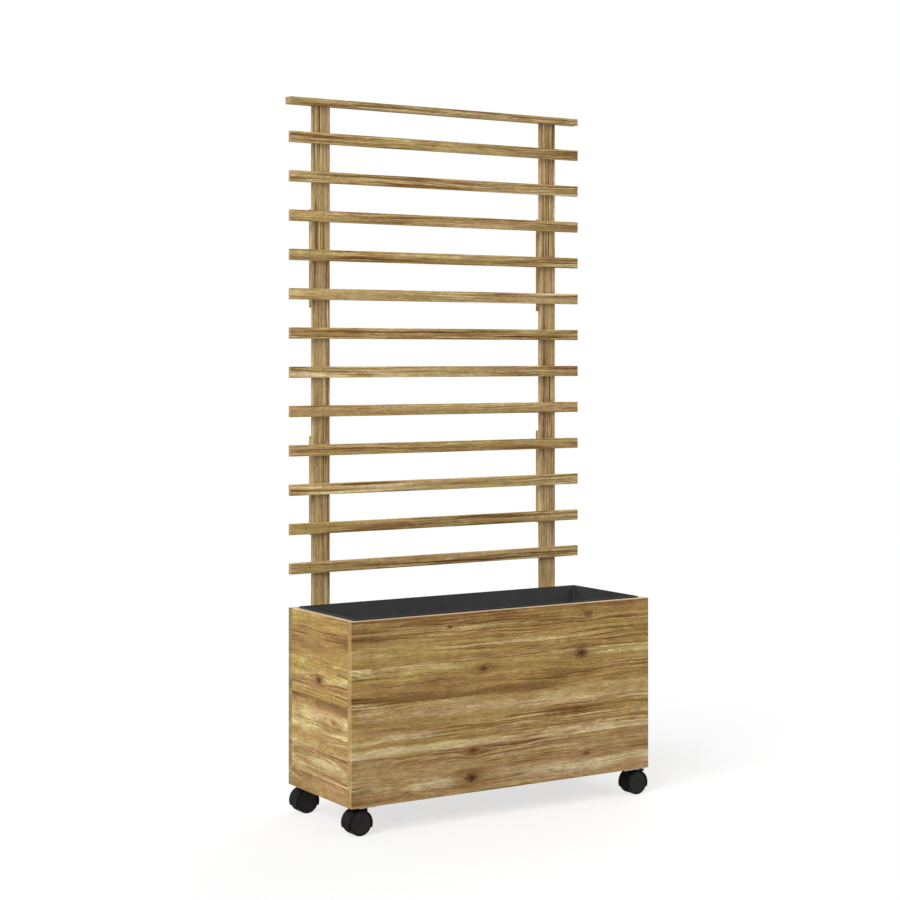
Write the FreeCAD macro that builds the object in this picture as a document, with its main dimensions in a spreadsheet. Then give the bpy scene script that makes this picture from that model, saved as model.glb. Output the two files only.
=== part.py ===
import FreeCAD, Part
import os
import re

import Sketcher

# A wooden trough on four twin-wheel swivel casters, with a slatted trellis behind it.
# +X runs along the trough to the right, +Y goes to the back, +Z is up. The origin is on
# the floor, at the middle of the footprint. All lengths are millimetres.

SIZES = {
    # Trough
    "trough_length": 750.0,
    "trough_depth": 275.0,
    "trough_height": 375.0,
    "panel_thickness": 15.0,
    "arris": 0.8,
    "bottom_thickness": 14.0,
    "bottom_rise": 21.0,
    "groove_depth": 5.0,
    "groove_play": 0.2,
    "batten_width": 64.0,
    # Hidden joints of the panels
    "dowel_diameter": 8.0,
    "dowel_length": 30.0,
    "dowel_into_face": 10.0,
    "dowel_play": 0.05,
    "dowel_end_gap": 0.3,
    "dowel_start": 70.0,
    "dowel_spacing": 117.0,
    # Liner and drainage
    "liner_thickness": 1.6,
    "liner_gap": 0.4,
    "liner_proud": 3.0,
    "liner_corner": 6.0,
    "drain_diameter": 12.0,
    "drain_inset_x": 90.0,
    "drain_inset_y": 60.0,
    # Trellis
    "post_width": 41.5,
    "post_thickness": 9.5,
    "post_inset": 58.5,
    "post_foot_rise": 35.0,
    "splice_thickness": 9.5,
    "splice_length": 212.0,
    "lower_splice_shift": 7.0,
    "upper_splice_shift": 6.0,
    "slat_height": 24.0,
    "slat_thickness": 9.0,
    "slat_rise": 70.0,
    "slat_spacing": 83.5,
    "rail_gap": 58.0,
    "rail_height": 15.0,
    "rail_depth": 24.0,
    # Fasteners
    "brad_diameter": 1.6,
    "brad_head_diameter": 3.4,
    "brad_head_height": 0.5,
    "brad_length": 14.0,
    "brad_rise": 5.0,
    "screw_diameter": 3.4,
    "screw_head_diameter": 6.6,
    "screw_head_height": 1.8,
    "screw_play": 0.1,
    "screw_spread": 20.0,
    "splice_screw_length": 16.0,
    "splice_screw_spacing": 120.0,
    "post_screw_length": 20.0,
    "post_screw_rise": 60.0,
    "post_screw_spacing": 220.0,
    "rail_screw_length": 38.0,
    "batten_screw_length": 24.0,
    "batten_screw_spread_y": 125.0,
    "batten_screw_sink": 4.0,
    "plate_screw_length": 13.0,
    "drill_over": 0.6,
    # Casters
    "caster_height": 58.0,
    "caster_width": 35.0,
    "swivel_inset_end": 41.0,
    "swivel_inset_side": 23.0,
    "trail": 15.5,
    "plate_length": 42.0,
    "plate_width": 38.0,
    "plate_thickness": 2.0,
    "plate_corner": 4.0,
    "plate_hole_inset": 5.5,
    "race_diameter": 18.0,
    "race_height": 1.5,
    "stem_diameter": 7.0,
    "stem_depth": 20.0,
    "stem_play": 0.05,
    "swivel_gap": 0.3,
    "boss_diameter": 16.0,
    "boss_depth": 12.0,
    "wheel_diameter": 50.0,
    "wheel_width": 10.5,
    "wheel_gap": 0.5,
    "tread_round": 1.5,
    "wheel_wall": 2.2,
    "wheel_rim": 4.5,
    "wheel_hub_diameter": 13.0,
    "wheel_hood_gap": 1.0,
    "hood_wall": 1.5,
    "hood_round": 0.6,
    "hood_skirt_drop": 10.0,
    "axle_diameter": 5.0,
    "axle_play": 0.05,
    "axle_end_gap": 0.5,
    # Brake lever of the right-hand casters
    "lever_thickness": 8.0,
    "lever_side_gap": 0.3,
    "lever_reach": 15.5,
    "lever_rise": 7.0,
    "lever_round": 0.4,
    "lever_pin_out": 13.5,
    "lever_pin_rise": 20.5,
    "lever_pin_diameter": 2.5,
    "lever_pin_play": 0.05,
    "lever_slot_back": 4.5,
    "lever_slot_drop": 6.5,
    # Every cut runs past its solid by this much
    "overrun": 2.0,
}

SLAT_COUNT = 12
SLAT_COUNT_TO_LOWER_JOINT = 3
SLAT_COUNT_TO_UPPER_JOINT = 9
DOWELS_PER_CORNER = 3
DRAIN_COLUMN_COUNT = 5
DRAIN_ROW_COUNT = 2

# Each corner's name, its side along X and its row along Y.
CORNERS = (
    ("front_left", -1, -1),
    ("front_right", 1, -1),
    ("back_left", -1, 1),
    ("back_right", 1, 1),
)

# Lengths and places that follow from the sizes above.
FOLLOWS = {
    "trough_bottom": "caster_height",
    "trough_top": "caster_height + trough_height",
    "half_length": "trough_length / 2",
    "back_layer": "post_thickness + splice_thickness",
    "trough_front": "-(trough_depth + back_layer) / 2",
    "trough_back": "(trough_depth - back_layer) / 2",
    "trough_middle": "-back_layer / 2",
    "inner_length": "trough_length - 2 * panel_thickness",
    "inner_depth": "trough_depth - 2 * panel_thickness",
    "board_bottom": "trough_bottom + bottom_rise",
    "board_top": "board_bottom + bottom_thickness",
    "liner_length": "inner_length - 2 * liner_gap",
    "liner_depth": "inner_depth - 2 * liner_gap",
    "liner_height": "trough_top + liner_proud - board_top",
    "drain_spacing_x": f"(inner_length - 2 * drain_inset_x) / {DRAIN_COLUMN_COUNT - 1}",
    "drain_spacing_y": f"(inner_depth - 2 * drain_inset_y) / {DRAIN_ROW_COUNT - 1}",
    "post_centre_x": "half_length - post_inset - post_width / 2",
    "slat_start": "trough_top + slat_rise + slat_height / 2",
    "slat_front": "trough_back - slat_thickness",
    "lower_joint": f"slat_start + {SLAT_COUNT_TO_LOWER_JOINT - 1} * slat_spacing",
    "upper_joint": f"slat_start + {SLAT_COUNT_TO_UPPER_JOINT - 1} * slat_spacing",
    "lower_splice_middle": "lower_joint + lower_splice_shift",
    "upper_splice_middle": "upper_joint - upper_splice_shift",
    "rail_bottom": f"slat_start + {SLAT_COUNT - 1} * slat_spacing + slat_height / 2 + rail_gap",
    "post_foot": "trough_bottom + post_foot_rise",
    "post_back": "trough_back + post_thickness",
    "splice_back": "post_back + splice_thickness",
    "wheel_radius": "wheel_diameter / 2",
    "hood_inner_radius": "wheel_radius + wheel_hood_gap",
    "hood_radius": "hood_inner_radius + hood_wall",
    "web_width": "caster_width - 2 * (wheel_width + 2 * wheel_gap)",
    "boss_top": "caster_height - plate_thickness - race_height - swivel_gap",
    "hub_depth": "wheel_width - wheel_wall",
    "axle_length": "web_width + 2 * (wheel_gap + hub_depth - axle_end_gap)",
    "plate_hole_x": "plate_length / 2 - plate_hole_inset",
    "plate_hole_y": "plate_width / 2 - plate_hole_inset",
    "lever_pin_x": "trail + lever_pin_out",
    "lever_pin_z": "wheel_radius + lever_pin_rise",
}

# The brake lever's outline from its pin, clockwise from the upper back of the knuckle,
# as shares of the lever's reach and rise.
LEVER_OUTLINE_SHARES = (
    (-0.16, 0.45),
    (0.02, 0.98),
    (0.30, 1.00),
    (0.97, 0.76),
    (1.00, 0.60),
    (0.60, -0.05),
    (0.36, -0.38),
    (0.00, -0.47),
    (-0.19, -0.09),
)

# A screw head's outline, as shares of its radius and height, from its seat to its axis.
HEAD_OUTLINE_SHARES = (
    (1.00, 0.00),
    (0.86, 0.62),
    (0.50, 1.00),
    (0.00, 1.00),
)

FRONT = FreeCAD.Rotation(FreeCAD.Vector(1, 0, 0), 90)
HALF_TURN = FreeCAD.Rotation(FreeCAD.Vector(0, 0, 1), 180)
ALONG_Y = FreeCAD.Rotation(FreeCAD.Vector(1, 0, 0), -90)
UPSIDE_DOWN = FreeCAD.Rotation(FreeCAD.Vector(1, 0, 0), 180)
UPRIGHT = FreeCAD.Rotation()

doc = FreeCAD.newDocument("raised_planter")
sheet = doc.addObject("Spreadsheet::Sheet", "sizes")
parts = []


def fill_sheet():
    """Writes each size in the sheet under its own name."""
    for row, (name, value) in enumerate(SIZES.items(), start=1):
        sheet.set(f"A{row}", name)
        sheet.set(f"B{row}", str(value))
        sheet.setAlias(f"B{row}", name)
    doc.recompute()


def sized(text):
    """Turns words that name a size into references to the sheet."""

    def reference(match):
        word = match.group(0)
        if word in SIZES:
            return f"<<sizes>>.{word}"
        if word in FOLLOWS:
            return f"({sized(FOLLOWS[word])})"
        return word

    return re.sub(r"[a-z][a-z_0-9]*", reference, text)


def bind(thing, **expressions):
    """Binds properties to expressions; a double underscore stands for a dot."""
    for name, text in expressions.items():
        thing.setExpression(name.replace("__", "."), sized(text))


def place(thing, x_text="0", y_text="0", z_text="0", turn=UPRIGHT):
    """Places an object by expressions, turned by a fixed rotation."""
    thing.Placement = FreeCAD.Placement(FreeCAD.Vector(), turn)
    bind(thing, Placement__Base__x=x_text, Placement__Base__y=y_text, Placement__Base__z=z_text)


def origin_feature(body, role):
    """The body's own origin plane or axis of that role."""
    return next(item for item in body.Origin.OriginFeatures if item.Role == role)


def new_body(name):
    """A sub-part's body, whose label is the name of its node."""
    body = doc.addObject("PartDesign::Body", name)
    body.Label = name
    parts.append(body)
    return body


def group(name, bodies):
    """A sub-part made of several bodies that stay separate solids."""
    compound = doc.addObject("Part::Compound", name)
    compound.Label = name
    compound.Links = bodies
    parts.append(compound)
    return compound


def feature(body, kind, name, x_text="0", y_text="0", z_text="0", turn=UPRIGHT, **expressions):
    """Adds a primitive feature to a body, placed and sized by expressions."""
    item = body.newObject(f"PartDesign::{kind}", f"{body.Name}_{name}")
    place(item, x_text, y_text, z_text, turn)
    bind(item, **expressions)
    body.Tip = item
    return item


def repeat(body, original, name, axis, count, spacing):
    """Repeats a feature along an axis of the body, at a spacing given by an expression."""
    pattern = body.newObject("PartDesign::LinearPattern", f"{body.Name}_{name}")
    pattern.Originals = [original]
    pattern.Direction = (origin_feature(body, axis), [""])
    pattern.Mode = "Extent"
    pattern.Occurrences = count
    bind(pattern, Length=f"{count - 1} * ({spacing})")
    body.Tip = pattern
    return pattern


def repeat_grid(body, original, name, steps):
    """Repeats a feature along several axes; a step is an axis, a count and a spacing."""
    moves = []
    for index, (axis, count, spacing) in enumerate(steps, start=1):
        move = body.newObject("PartDesign::LinearPattern", f"{body.Name}_{name}_{index}")
        move.Direction = (origin_feature(body, axis), [""])
        move.Mode = "Extent"
        move.Occurrences = count
        bind(move, Length=f"{count - 1} * ({spacing})")
        moves.append(move)
    pattern = body.newObject("PartDesign::MultiTransform", f"{body.Name}_{name}")
    pattern.Originals = [original]
    pattern.Transformations = moves
    body.Tip = pattern
    return pattern


def bevel_all(body, size):
    """Bevels every edge of the solid made so far."""
    base = body.Tip
    doc.recompute()
    bevel = body.newObject("PartDesign::Chamfer", f"{body.Name}_arris")
    bevel.Base = (base, ["Edge1"])
    bevel.UseAllEdges = True
    bind(bevel, Size=size)
    body.Tip = bevel
    return bevel


def round_edges(body, name, radius, wanted):
    """Rounds the edges for which wanted(edge) is true."""
    base = body.Tip
    doc.recompute()
    edges = base.Shape.Edges
    names = [f"Edge{index}" for index, edge in enumerate(edges, start=1) if wanted(edge)]
    rounding = body.newObject("PartDesign::Fillet", f"{body.Name}_{name}")
    rounding.Base = (base, names)
    bind(rounding, Radius=radius)
    body.Tip = rounding
    return rounding


def outline(body, name, plane, points):
    """A closed sketch of straight lines through points given as pairs of expressions."""
    sketch = body.newObject("Sketcher::SketchObject", f"{body.Name}_{name}")
    sketch.AttachmentSupport = [(origin_feature(body, plane), "")]
    sketch.MapMode = "FlatFace"
    values = [(value_of(x_text), value_of(y_text)) for x_text, y_text in points]
    count = len(points)
    for index in range(count):
        start = FreeCAD.Vector(*values[index], 0)
        end = FreeCAD.Vector(*values[(index + 1) % count], 0)
        sketch.addGeometry(Part.LineSegment(start, end), False)
    for index in range(count):
        sketch.addConstraint(Sketcher.Constraint("Coincident", index, 2, (index + 1) % count, 1))
    for index, texts in enumerate(points):
        for kind, text, value in zip(("DistanceX", "DistanceY"), texts, values[index]):
            number = sketch.addConstraint(Sketcher.Constraint(kind, -1, 1, index, 1, value))
            sketch.setExpression(f"Constraints[{number}]", sized(text))
    return sketch


def value_of(text):
    """The present value of an expression, for the first drawing of a sketch."""
    result = sheet.evalExpression(sized(text))
    return float(getattr(result, "Value", result))


def is_circle(edge, radius):
    """Whether an edge is a full circle or arc of about that radius."""
    curve = edge.Curve
    return isinstance(curve, Part.Circle) and abs(curve.Radius - radius) < 1e-4


def lies_along(edge, direction):
    """Whether an edge is straight and parallel to a direction."""
    curve = edge.Curve
    return isinstance(curve, Part.Line) and abs(abs(curve.Direction.dot(direction)) - 1) < 1e-6


def board(name, length, depth, height, x_text, y_text, z_text):
    """A board with bevelled edges, placed by its lower left front corner."""
    body = new_body(name)
    feature(body, "AdditiveBox", "board", Length=length, Width=depth, Height=height)
    bevel_all(body, "arris")
    place(body, x_text, y_text, z_text)
    return body


# Trough: the front and back panels cover the ends of the end panels.


def long_panel(name, front):
    """The front or back panel, with its groove and the holes for dowels and screws.

    The body is drawn with its outer face at local Y zero and its inner face towards +Y;
    the back panel is the same panel turned round.
    """
    body = new_body(name)
    feature(
        body, "AdditiveBox", "board",
        Length="trough_length", Width="panel_thickness", Height="trough_height",
    )
    bevel_all(body, "arris")
    feature(
        body, "SubtractiveBox", "groove",
        x_text="-overrun", y_text="panel_thickness - groove_depth", z_text="bottom_rise",
        Length="trough_length + 2 * overrun", Width="groove_depth + overrun",
        Height="bottom_thickness + groove_play",
    )
    dowel_hole = feature(
        body, "SubtractiveCylinder", "dowel_hole",
        x_text="panel_thickness / 2", y_text="panel_thickness - dowel_into_face - dowel_end_gap",
        z_text="dowel_start", turn=ALONG_Y,
        Radius="dowel_diameter / 2 + dowel_play", Height="dowel_into_face + dowel_end_gap + overrun",
    )
    repeat_grid(body, dowel_hole, "dowel_holes", (
        ("Z_Axis", DOWELS_PER_CORNER, "dowel_spacing"),
        ("X_Axis", 2, "trough_length - panel_thickness"),
    ))
    plate_hole = feature(
        body, "SubtractiveCylinder", "plate_screw_hole",
        x_text="swivel_inset_end - plate_hole_x", y_text="swivel_inset_side - plate_hole_y",
        z_text="-overrun",
        Radius="screw_diameter / 2 + screw_play",
        Height="plate_screw_length - plate_thickness + drill_over + overrun",
    )
    repeat_grid(body, plate_hole, "plate_screw_holes", (
        ("X_Axis", 2, "2 * plate_hole_x"),
        ("X_Axis", 2, "trough_length - 2 * swivel_inset_end"),
    ))
    if front:
        place(body, "-half_length", "trough_front", "trough_bottom")
        return body
    screw_hole = feature(
        body, "SubtractiveCylinder", "post_screw_hole",
        x_text="half_length - post_centre_x - screw_spread / 2", y_text="-overrun",
        z_text="post_foot_rise + post_screw_rise", turn=ALONG_Y,
        Radius="screw_diameter / 2 + screw_play",
        Height="post_screw_length - post_thickness + drill_over + overrun",
    )
    repeat_grid(body, screw_hole, "post_screw_holes", (
        ("X_Axis", 2, "screw_spread"),
        ("X_Axis", 2, "2 * post_centre_x"),
        ("Z_Axis", 2, "post_screw_spacing"),
    ))
    place(body, "half_length", "trough_back", "trough_bottom", HALF_TURN)
    return body


def end_panel(name, side):
    """An end panel, held between the front and back panels by dowels in its ends."""
    body = new_body(name)
    feature(
        body, "AdditiveBox", "board",
        Length="panel_thickness", Width="inner_depth", Height="trough_height",
    )
    bevel_all(body, "arris")
    hole = feature(
        body, "SubtractiveCylinder", "dowel_hole",
        x_text="panel_thickness / 2", y_text="-overrun", z_text="dowel_start", turn=ALONG_Y,
        Radius="dowel_diameter / 2 + dowel_play",
        Height="dowel_length - dowel_into_face + dowel_end_gap + overrun",
    )
    holes = repeat(body, hole, "dowel_holes", "Z_Axis", DOWELS_PER_CORNER, "dowel_spacing")
    far_hole = feature(
        body, "SubtractiveCylinder", "far_dowel_hole",
        x_text="panel_thickness / 2",
        y_text="inner_depth - (dowel_length - dowel_into_face + dowel_end_gap)",
        z_text="dowel_start", turn=ALONG_Y,
        Radius="dowel_diameter / 2 + dowel_play",
        Height="dowel_length - dowel_into_face + dowel_end_gap + overrun",
    )
    repeat(body, far_hole, "far_dowel_holes", "Z_Axis", DOWELS_PER_CORNER, "dowel_spacing")
    left_x = "-half_length" if side < 0 else "half_length - panel_thickness"
    place(body, left_x, "trough_front + panel_thickness", "trough_bottom")
    return body


def corner_dowels():
    """The hidden dowels of the four corners, as one group."""
    body = new_body("corner_dowels")
    dowel = feature(
        body, "AdditiveCylinder", "dowel", turn=ALONG_Y,
        Radius="dowel_diameter / 2", Height="dowel_length",
    )
    repeat_grid(body, dowel, "dowels", (
        ("Z_Axis", DOWELS_PER_CORNER, "dowel_spacing"),
        ("X_Axis", 2, "trough_length - panel_thickness"),
        ("Y_Axis", 2, "inner_depth + 2 * dowel_into_face - dowel_length"),
    ))
    place(
        body, "-(trough_length - panel_thickness) / 2",
        "trough_front + panel_thickness - dowel_into_face", "trough_bottom + dowel_start",
    )
    return body


def bottom_board():
    """The bottom board: its long edges lie in the panels' grooves."""
    body = board(
        "bottom_board", "inner_length", "inner_depth + 2 * groove_depth", "bottom_thickness",
        "-inner_length / 2", "trough_front + panel_thickness - groove_depth", "board_bottom",
    )
    hole = feature(
        body, "SubtractiveCylinder", "drain",
        x_text="drain_inset_x", y_text="groove_depth + drain_inset_y", z_text="-overrun",
        Radius="drain_diameter / 2", Height="bottom_thickness + 2 * overrun",
    )
    repeat_grid(body, hole, "drains", (
        ("X_Axis", DRAIN_COLUMN_COUNT, "drain_spacing_x"),
        ("Y_Axis", DRAIN_ROW_COUNT, "drain_spacing_y"),
    ))
    screw_hole = feature(
        body, "SubtractiveCylinder", "screw_hole",
        x_text="batten_width / 2 - screw_spread / 2",
        y_text="groove_depth + (inner_depth - batten_screw_spread_y) / 2", z_text="-overrun",
        Radius="screw_diameter / 2 + screw_play",
        Height="batten_screw_length + batten_screw_sink - bottom_rise + drill_over + overrun",
    )
    repeat_grid(body, screw_hole, "screw_holes", (
        ("X_Axis", 2, "screw_spread"),
        ("X_Axis", 2, "inner_length - batten_width"),
        ("Y_Axis", 2, "batten_screw_spread_y"),
    ))
    return body


def cross_batten(name, side):
    """A batten under the bottom board at one end, which carries two casters."""
    left_x = "-half_length + panel_thickness" if side < 0 else "half_length - panel_thickness - batten_width"
    body = board(
        name, "batten_width", "inner_depth", "bottom_rise",
        left_x, "trough_front + panel_thickness", "trough_bottom",
    )
    near_x = "swivel_inset_end - plate_hole_x - panel_thickness"
    if side > 0:
        near_x = "batten_width + panel_thickness - swivel_inset_end - plate_hole_x"
    plate_hole = feature(
        body, "SubtractiveCylinder", "plate_screw_hole",
        x_text=near_x, y_text="swivel_inset_side + plate_hole_y - panel_thickness", z_text="-overrun",
        Radius="screw_diameter / 2 + screw_play",
        Height="plate_screw_length - plate_thickness + drill_over + overrun",
    )
    repeat_grid(body, plate_hole, "plate_screw_holes", (
        ("X_Axis", 2, "2 * plate_hole_x"),
        ("Y_Axis", 2, "trough_depth - 2 * (swivel_inset_side + plate_hole_y)"),
    ))
    steps = (("X_Axis", 2, "screw_spread"), ("Y_Axis", 2, "batten_screw_spread_y"))
    screw_hole = feature(
        body, "SubtractiveCylinder", "screw_hole",
        x_text="batten_width / 2 - screw_spread / 2",
        y_text="(inner_depth - batten_screw_spread_y) / 2", z_text="-overrun",
        Radius="screw_diameter / 2 + screw_play", Height="bottom_rise + 2 * overrun",
    )
    repeat_grid(body, screw_hole, "screw_holes", steps)
    sink = feature(
        body, "SubtractiveCylinder", "screw_sink",
        x_text="batten_width / 2 - screw_spread / 2",
        y_text="(inner_depth - batten_screw_spread_y) / 2", z_text="-overrun",
        Radius="screw_head_diameter / 2 + screw_play", Height="batten_screw_sink + overrun",
    )
    repeat_grid(body, sink, "screw_sinks", steps)
    return body


def liner():
    """The moulded tray inside the trough: thin walls, a thicker rim and drain holes."""
    body = new_body("liner")
    feature(
        body, "AdditiveBox", "block",
        Length="liner_length", Width="liner_depth", Height="liner_height",
    )
    up = FreeCAD.Vector(0, 0, 1)
    round_edges(body, "corners", "liner_corner", lambda edge: lies_along(edge, up))
    base = body.Tip
    doc.recompute()
    top = max(range(len(base.Shape.Faces)), key=lambda index: base.Shape.Faces[index].CenterOfMass.z)
    wall = body.newObject("PartDesign::Thickness", "liner_walls")
    wall.Base = (base, [f"Face{top + 1}"])
    wall.Reversed = True
    bind(wall, Value="liner_thickness")
    body.Tip = wall
    hole = feature(
        body, "SubtractiveCylinder", "drain",
        x_text="drain_inset_x - liner_gap", y_text="drain_inset_y - liner_gap", z_text="-overrun",
        Radius="drain_diameter / 2 - liner_thickness / 2", Height="liner_thickness + 2 * overrun",
    )
    repeat_grid(body, hole, "drains", (
        ("X_Axis", DRAIN_COLUMN_COUNT, "drain_spacing_x"),
        ("Y_Axis", DRAIN_ROW_COUNT, "drain_spacing_y"),
    ))
    place(body, "-liner_length / 2", "trough_middle - liner_depth / 2", "board_top")
    return body


# Trellis: two posts against the back panel, each in three lengths, and slats before them.


def post_length(name, side, foot, head, first_slat, last_slat, screws):
    """One length of a post, drilled for the brads of its slats and for its screws.

    screws lists rows of screw holes as a height above the foot and a depth of drilling;
    a row has one hole each side of the middle.
    """
    left_x = f"{side} * post_centre_x - post_width / 2"
    body = board(name, "post_width", "post_thickness", f"{head} - {foot}", left_x, "trough_back", foot)
    brad_hole = feature(
        body, "SubtractiveCylinder", "brad_hole",
        x_text="post_width / 2", y_text="-overrun",
        z_text=f"slat_start + {first_slat - 1} * slat_spacing + brad_rise - ({foot})", turn=ALONG_Y,
        Radius="brad_diameter / 2 + screw_play",
        Height="brad_length - slat_thickness + drill_over + overrun",
    )
    if last_slat > first_slat:
        repeat(body, brad_hole, "brad_holes", "Z_Axis", last_slat - first_slat + 1, "slat_spacing")
    for index, (height, clear_through) in enumerate(screws, start=1):
        deep = "post_thickness + 2 * overrun"
        start = "-overrun"
        if not clear_through:
            start = "post_thickness - (splice_screw_length - splice_thickness + drill_over)"
            deep = "splice_screw_length - splice_thickness + drill_over + overrun"
        hole = feature(
            body, "SubtractiveCylinder", f"screw_hole_{index}",
            x_text="post_width / 2 - screw_spread / 2", y_text=start,
            z_text=f"{height} - ({foot})", turn=ALONG_Y,
            Radius="screw_diameter / 2 + screw_play", Height=deep,
        )
        repeat(body, hole, f"screw_holes_{index}", "X_Axis", 2, "screw_spread")
    return body


def upper_post_length(name, side):
    """The top length of a post, with the hole for the rail's screw in its end."""
    body = post_length(
        name, side, "upper_joint", "rail_bottom", SLAT_COUNT_TO_UPPER_JOINT, SLAT_COUNT,
        (("upper_splice_middle + splice_screw_spacing / 2", False),),
    )
    feature(
        body, "SubtractiveCylinder", "rail_screw_hole",
        x_text="post_width / 2", y_text="post_thickness / 2",
        z_text="rail_bottom - upper_joint - (rail_screw_length - rail_height) - drill_over",
        Radius="screw_diameter / 2 + screw_play",
        Height="rail_screw_length - rail_height + drill_over + overrun",
    )
    return body


def splice(name, side, middle):
    """A splice board behind a joint of a post."""
    body = board(
        name, "post_width", "splice_thickness", "splice_length",
        f"{side} * post_centre_x - post_width / 2", "post_back", f"{middle} - splice_length / 2",
    )
    hole = feature(
        body, "SubtractiveCylinder", "screw_hole",
        x_text="post_width / 2 - screw_spread / 2", y_text="-overrun",
        z_text="splice_length / 2 - splice_screw_spacing / 2", turn=ALONG_Y,
        Radius="screw_diameter / 2 + screw_play", Height="splice_thickness + 2 * overrun",
    )
    repeat_grid(body, hole, "screw_holes", (
        ("X_Axis", 2, "screw_spread"),
        ("Z_Axis", 2, "splice_screw_spacing"),
    ))
    return body


def trellis_post(side_name, side):
    """All boards of one post."""
    post_length(
        f"{side_name}_post_lower", side, "post_foot", "lower_joint", 1, SLAT_COUNT_TO_LOWER_JOINT - 1,
        (
            ("post_foot + post_screw_rise", True),
            ("post_foot + post_screw_rise + post_screw_spacing", True),
            ("lower_splice_middle - splice_screw_spacing / 2", False),
        ),
    )
    post_length(
        f"{side_name}_post_middle", side, "lower_joint", "upper_joint",
        SLAT_COUNT_TO_LOWER_JOINT, SLAT_COUNT_TO_UPPER_JOINT - 1,
        (
            ("lower_splice_middle + splice_screw_spacing / 2", False),
            ("upper_splice_middle - splice_screw_spacing / 2", False),
        ),
    )
    upper_post_length(f"{side_name}_post_upper", side)
    splice(f"{side_name}_splice_lower", side, "lower_splice_middle")
    splice(f"{side_name}_splice_upper", side, "upper_splice_middle")


def slat(number):
    """A horizontal slat, as long as the trough, numbered from the bottom."""
    middle = f"slat_start + {number - 1} * slat_spacing"
    body = board(
        f"slat_{number:02d}", "trough_length", "slat_thickness", "slat_height",
        "-half_length", "slat_front", f"{middle} - slat_height / 2",
    )
    hole = feature(
        body, "SubtractiveCylinder", "brad_hole",
        x_text="half_length - post_centre_x", y_text="-overrun",
        z_text="slat_height / 2 + brad_rise", turn=ALONG_Y,
        Radius="brad_diameter / 2 + screw_play", Height="slat_thickness + 2 * overrun",
    )
    repeat(body, hole, "brad_holes", "X_Axis", 2, "2 * post_centre_x")
    return body


def top_rail():
    """The rail that lies on the ends of the posts, its front flush with the slats."""
    body = board(
        "top_rail", "trough_length", "rail_depth", "rail_height",
        "-half_length", "slat_front", "rail_bottom",
    )
    hole = feature(
        body, "SubtractiveCylinder", "screw_hole",
        x_text="half_length - post_centre_x", y_text="slat_thickness + post_thickness / 2",
        z_text="-overrun",
        Radius="screw_diameter / 2 + screw_play", Height="rail_height + 2 * overrun",
    )
    repeat(body, hole, "screw_holes", "X_Axis", 2, "2 * post_centre_x")
    return body


# Fasteners. A fastener is drawn with the underside of its head at local Z zero and its
# head towards +Z, and a group of them is turned as a whole.


def headed_pin(body, head_radius, head_height, radius, length):
    """A pin with a round head, as the first solid of a body."""
    head = [
        (f"{head_radius} * {radius_share}", f"{head_height} * {height_share}")
        for radius_share, height_share in HEAD_OUTLINE_SHARES
    ]
    shank = [("0", f"-({length})"), (radius, f"-({length})"), (radius, "0")]
    sketch = outline(body, "profile", "XZ_Plane", shank + head)
    pin = body.newObject("PartDesign::Revolution", f"{body.Name}_pin")
    pin.Profile = sketch
    pin.ReferenceAxis = (sketch, ["V_Axis"])
    pin.Angle = 360
    body.Tip = pin
    return pin


def screw_body(name, length):
    """A body that holds one pan-head screw of a given length under its head."""
    body = doc.addObject("PartDesign::Body", name)
    pin = headed_pin(body, "screw_head_diameter / 2", "screw_head_height", "screw_diameter / 2", length)
    return body, pin


def slat_brads():
    """One brad at each crossing of a slat and a post."""
    body = new_body("slat_brads")
    pin = headed_pin(body, "brad_head_diameter / 2", "brad_head_height", "brad_diameter / 2", "brad_length")
    repeat_grid(body, pin, "grid", (
        ("X_Axis", 2, "2 * post_centre_x"),
        ("Y_Axis", SLAT_COUNT, "slat_spacing"),
    ))
    place(body, "-post_centre_x", "slat_front", "slat_start + brad_rise", FRONT)
    return body


def trellis_screws():
    """The screws of the splices, of the posts' feet and of the rail, as one group."""
    back_turn = HALF_TURN.multiply(FRONT)
    splices, splice_pin = screw_body("splice_screws", "splice_screw_length")
    repeat_grid(splices, splice_pin, "grid", (
        ("X_Axis", 2, "screw_spread"),
        ("X_Axis", 2, "2 * post_centre_x"),
        ("Y_Axis", 2, "splice_screw_spacing"),
        ("Y_Axis", 2, "upper_splice_middle - lower_splice_middle"),
    ))
    place(
        splices, "post_centre_x + screw_spread / 2", "splice_back",
        "lower_splice_middle - splice_screw_spacing / 2", back_turn,
    )
    feet, foot_pin = screw_body("foot_screws", "post_screw_length")
    repeat_grid(feet, foot_pin, "grid", (
        ("X_Axis", 2, "screw_spread"),
        ("X_Axis", 2, "2 * post_centre_x"),
        ("Y_Axis", 2, "post_screw_spacing"),
    ))
    place(
        feet, "post_centre_x + screw_spread / 2", "post_back",
        "post_foot + post_screw_rise", back_turn,
    )
    rail, rail_pin = screw_body("rail_screws", "rail_screw_length")
    repeat(rail, rail_pin, "grid", "X_Axis", 2, "2 * post_centre_x")
    place(rail, "-post_centre_x", "trough_back + post_thickness / 2", "rail_bottom + rail_height")
    return group("trellis_screws", [splices, feet, rail])


def batten_screws():
    """The sunk screws that hold the cross battens to the bottom board."""
    body = new_body("batten_screws")
    pin = headed_pin(
        body, "screw_head_diameter / 2", "screw_head_height", "screw_diameter / 2", "batten_screw_length",
    )
    repeat_grid(body, pin, "grid", (
        ("X_Axis", 2, "screw_spread"),
        ("X_Axis", 2, "inner_length - batten_width"),
        ("Y_Axis", 2, "batten_screw_spread_y"),
    ))
    place(
        body, "-inner_length / 2 + batten_width / 2 - screw_spread / 2",
        "trough_middle + batten_screw_spread_y / 2", "trough_bottom + batten_screw_sink", UPSIDE_DOWN,
    )
    return body


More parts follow.
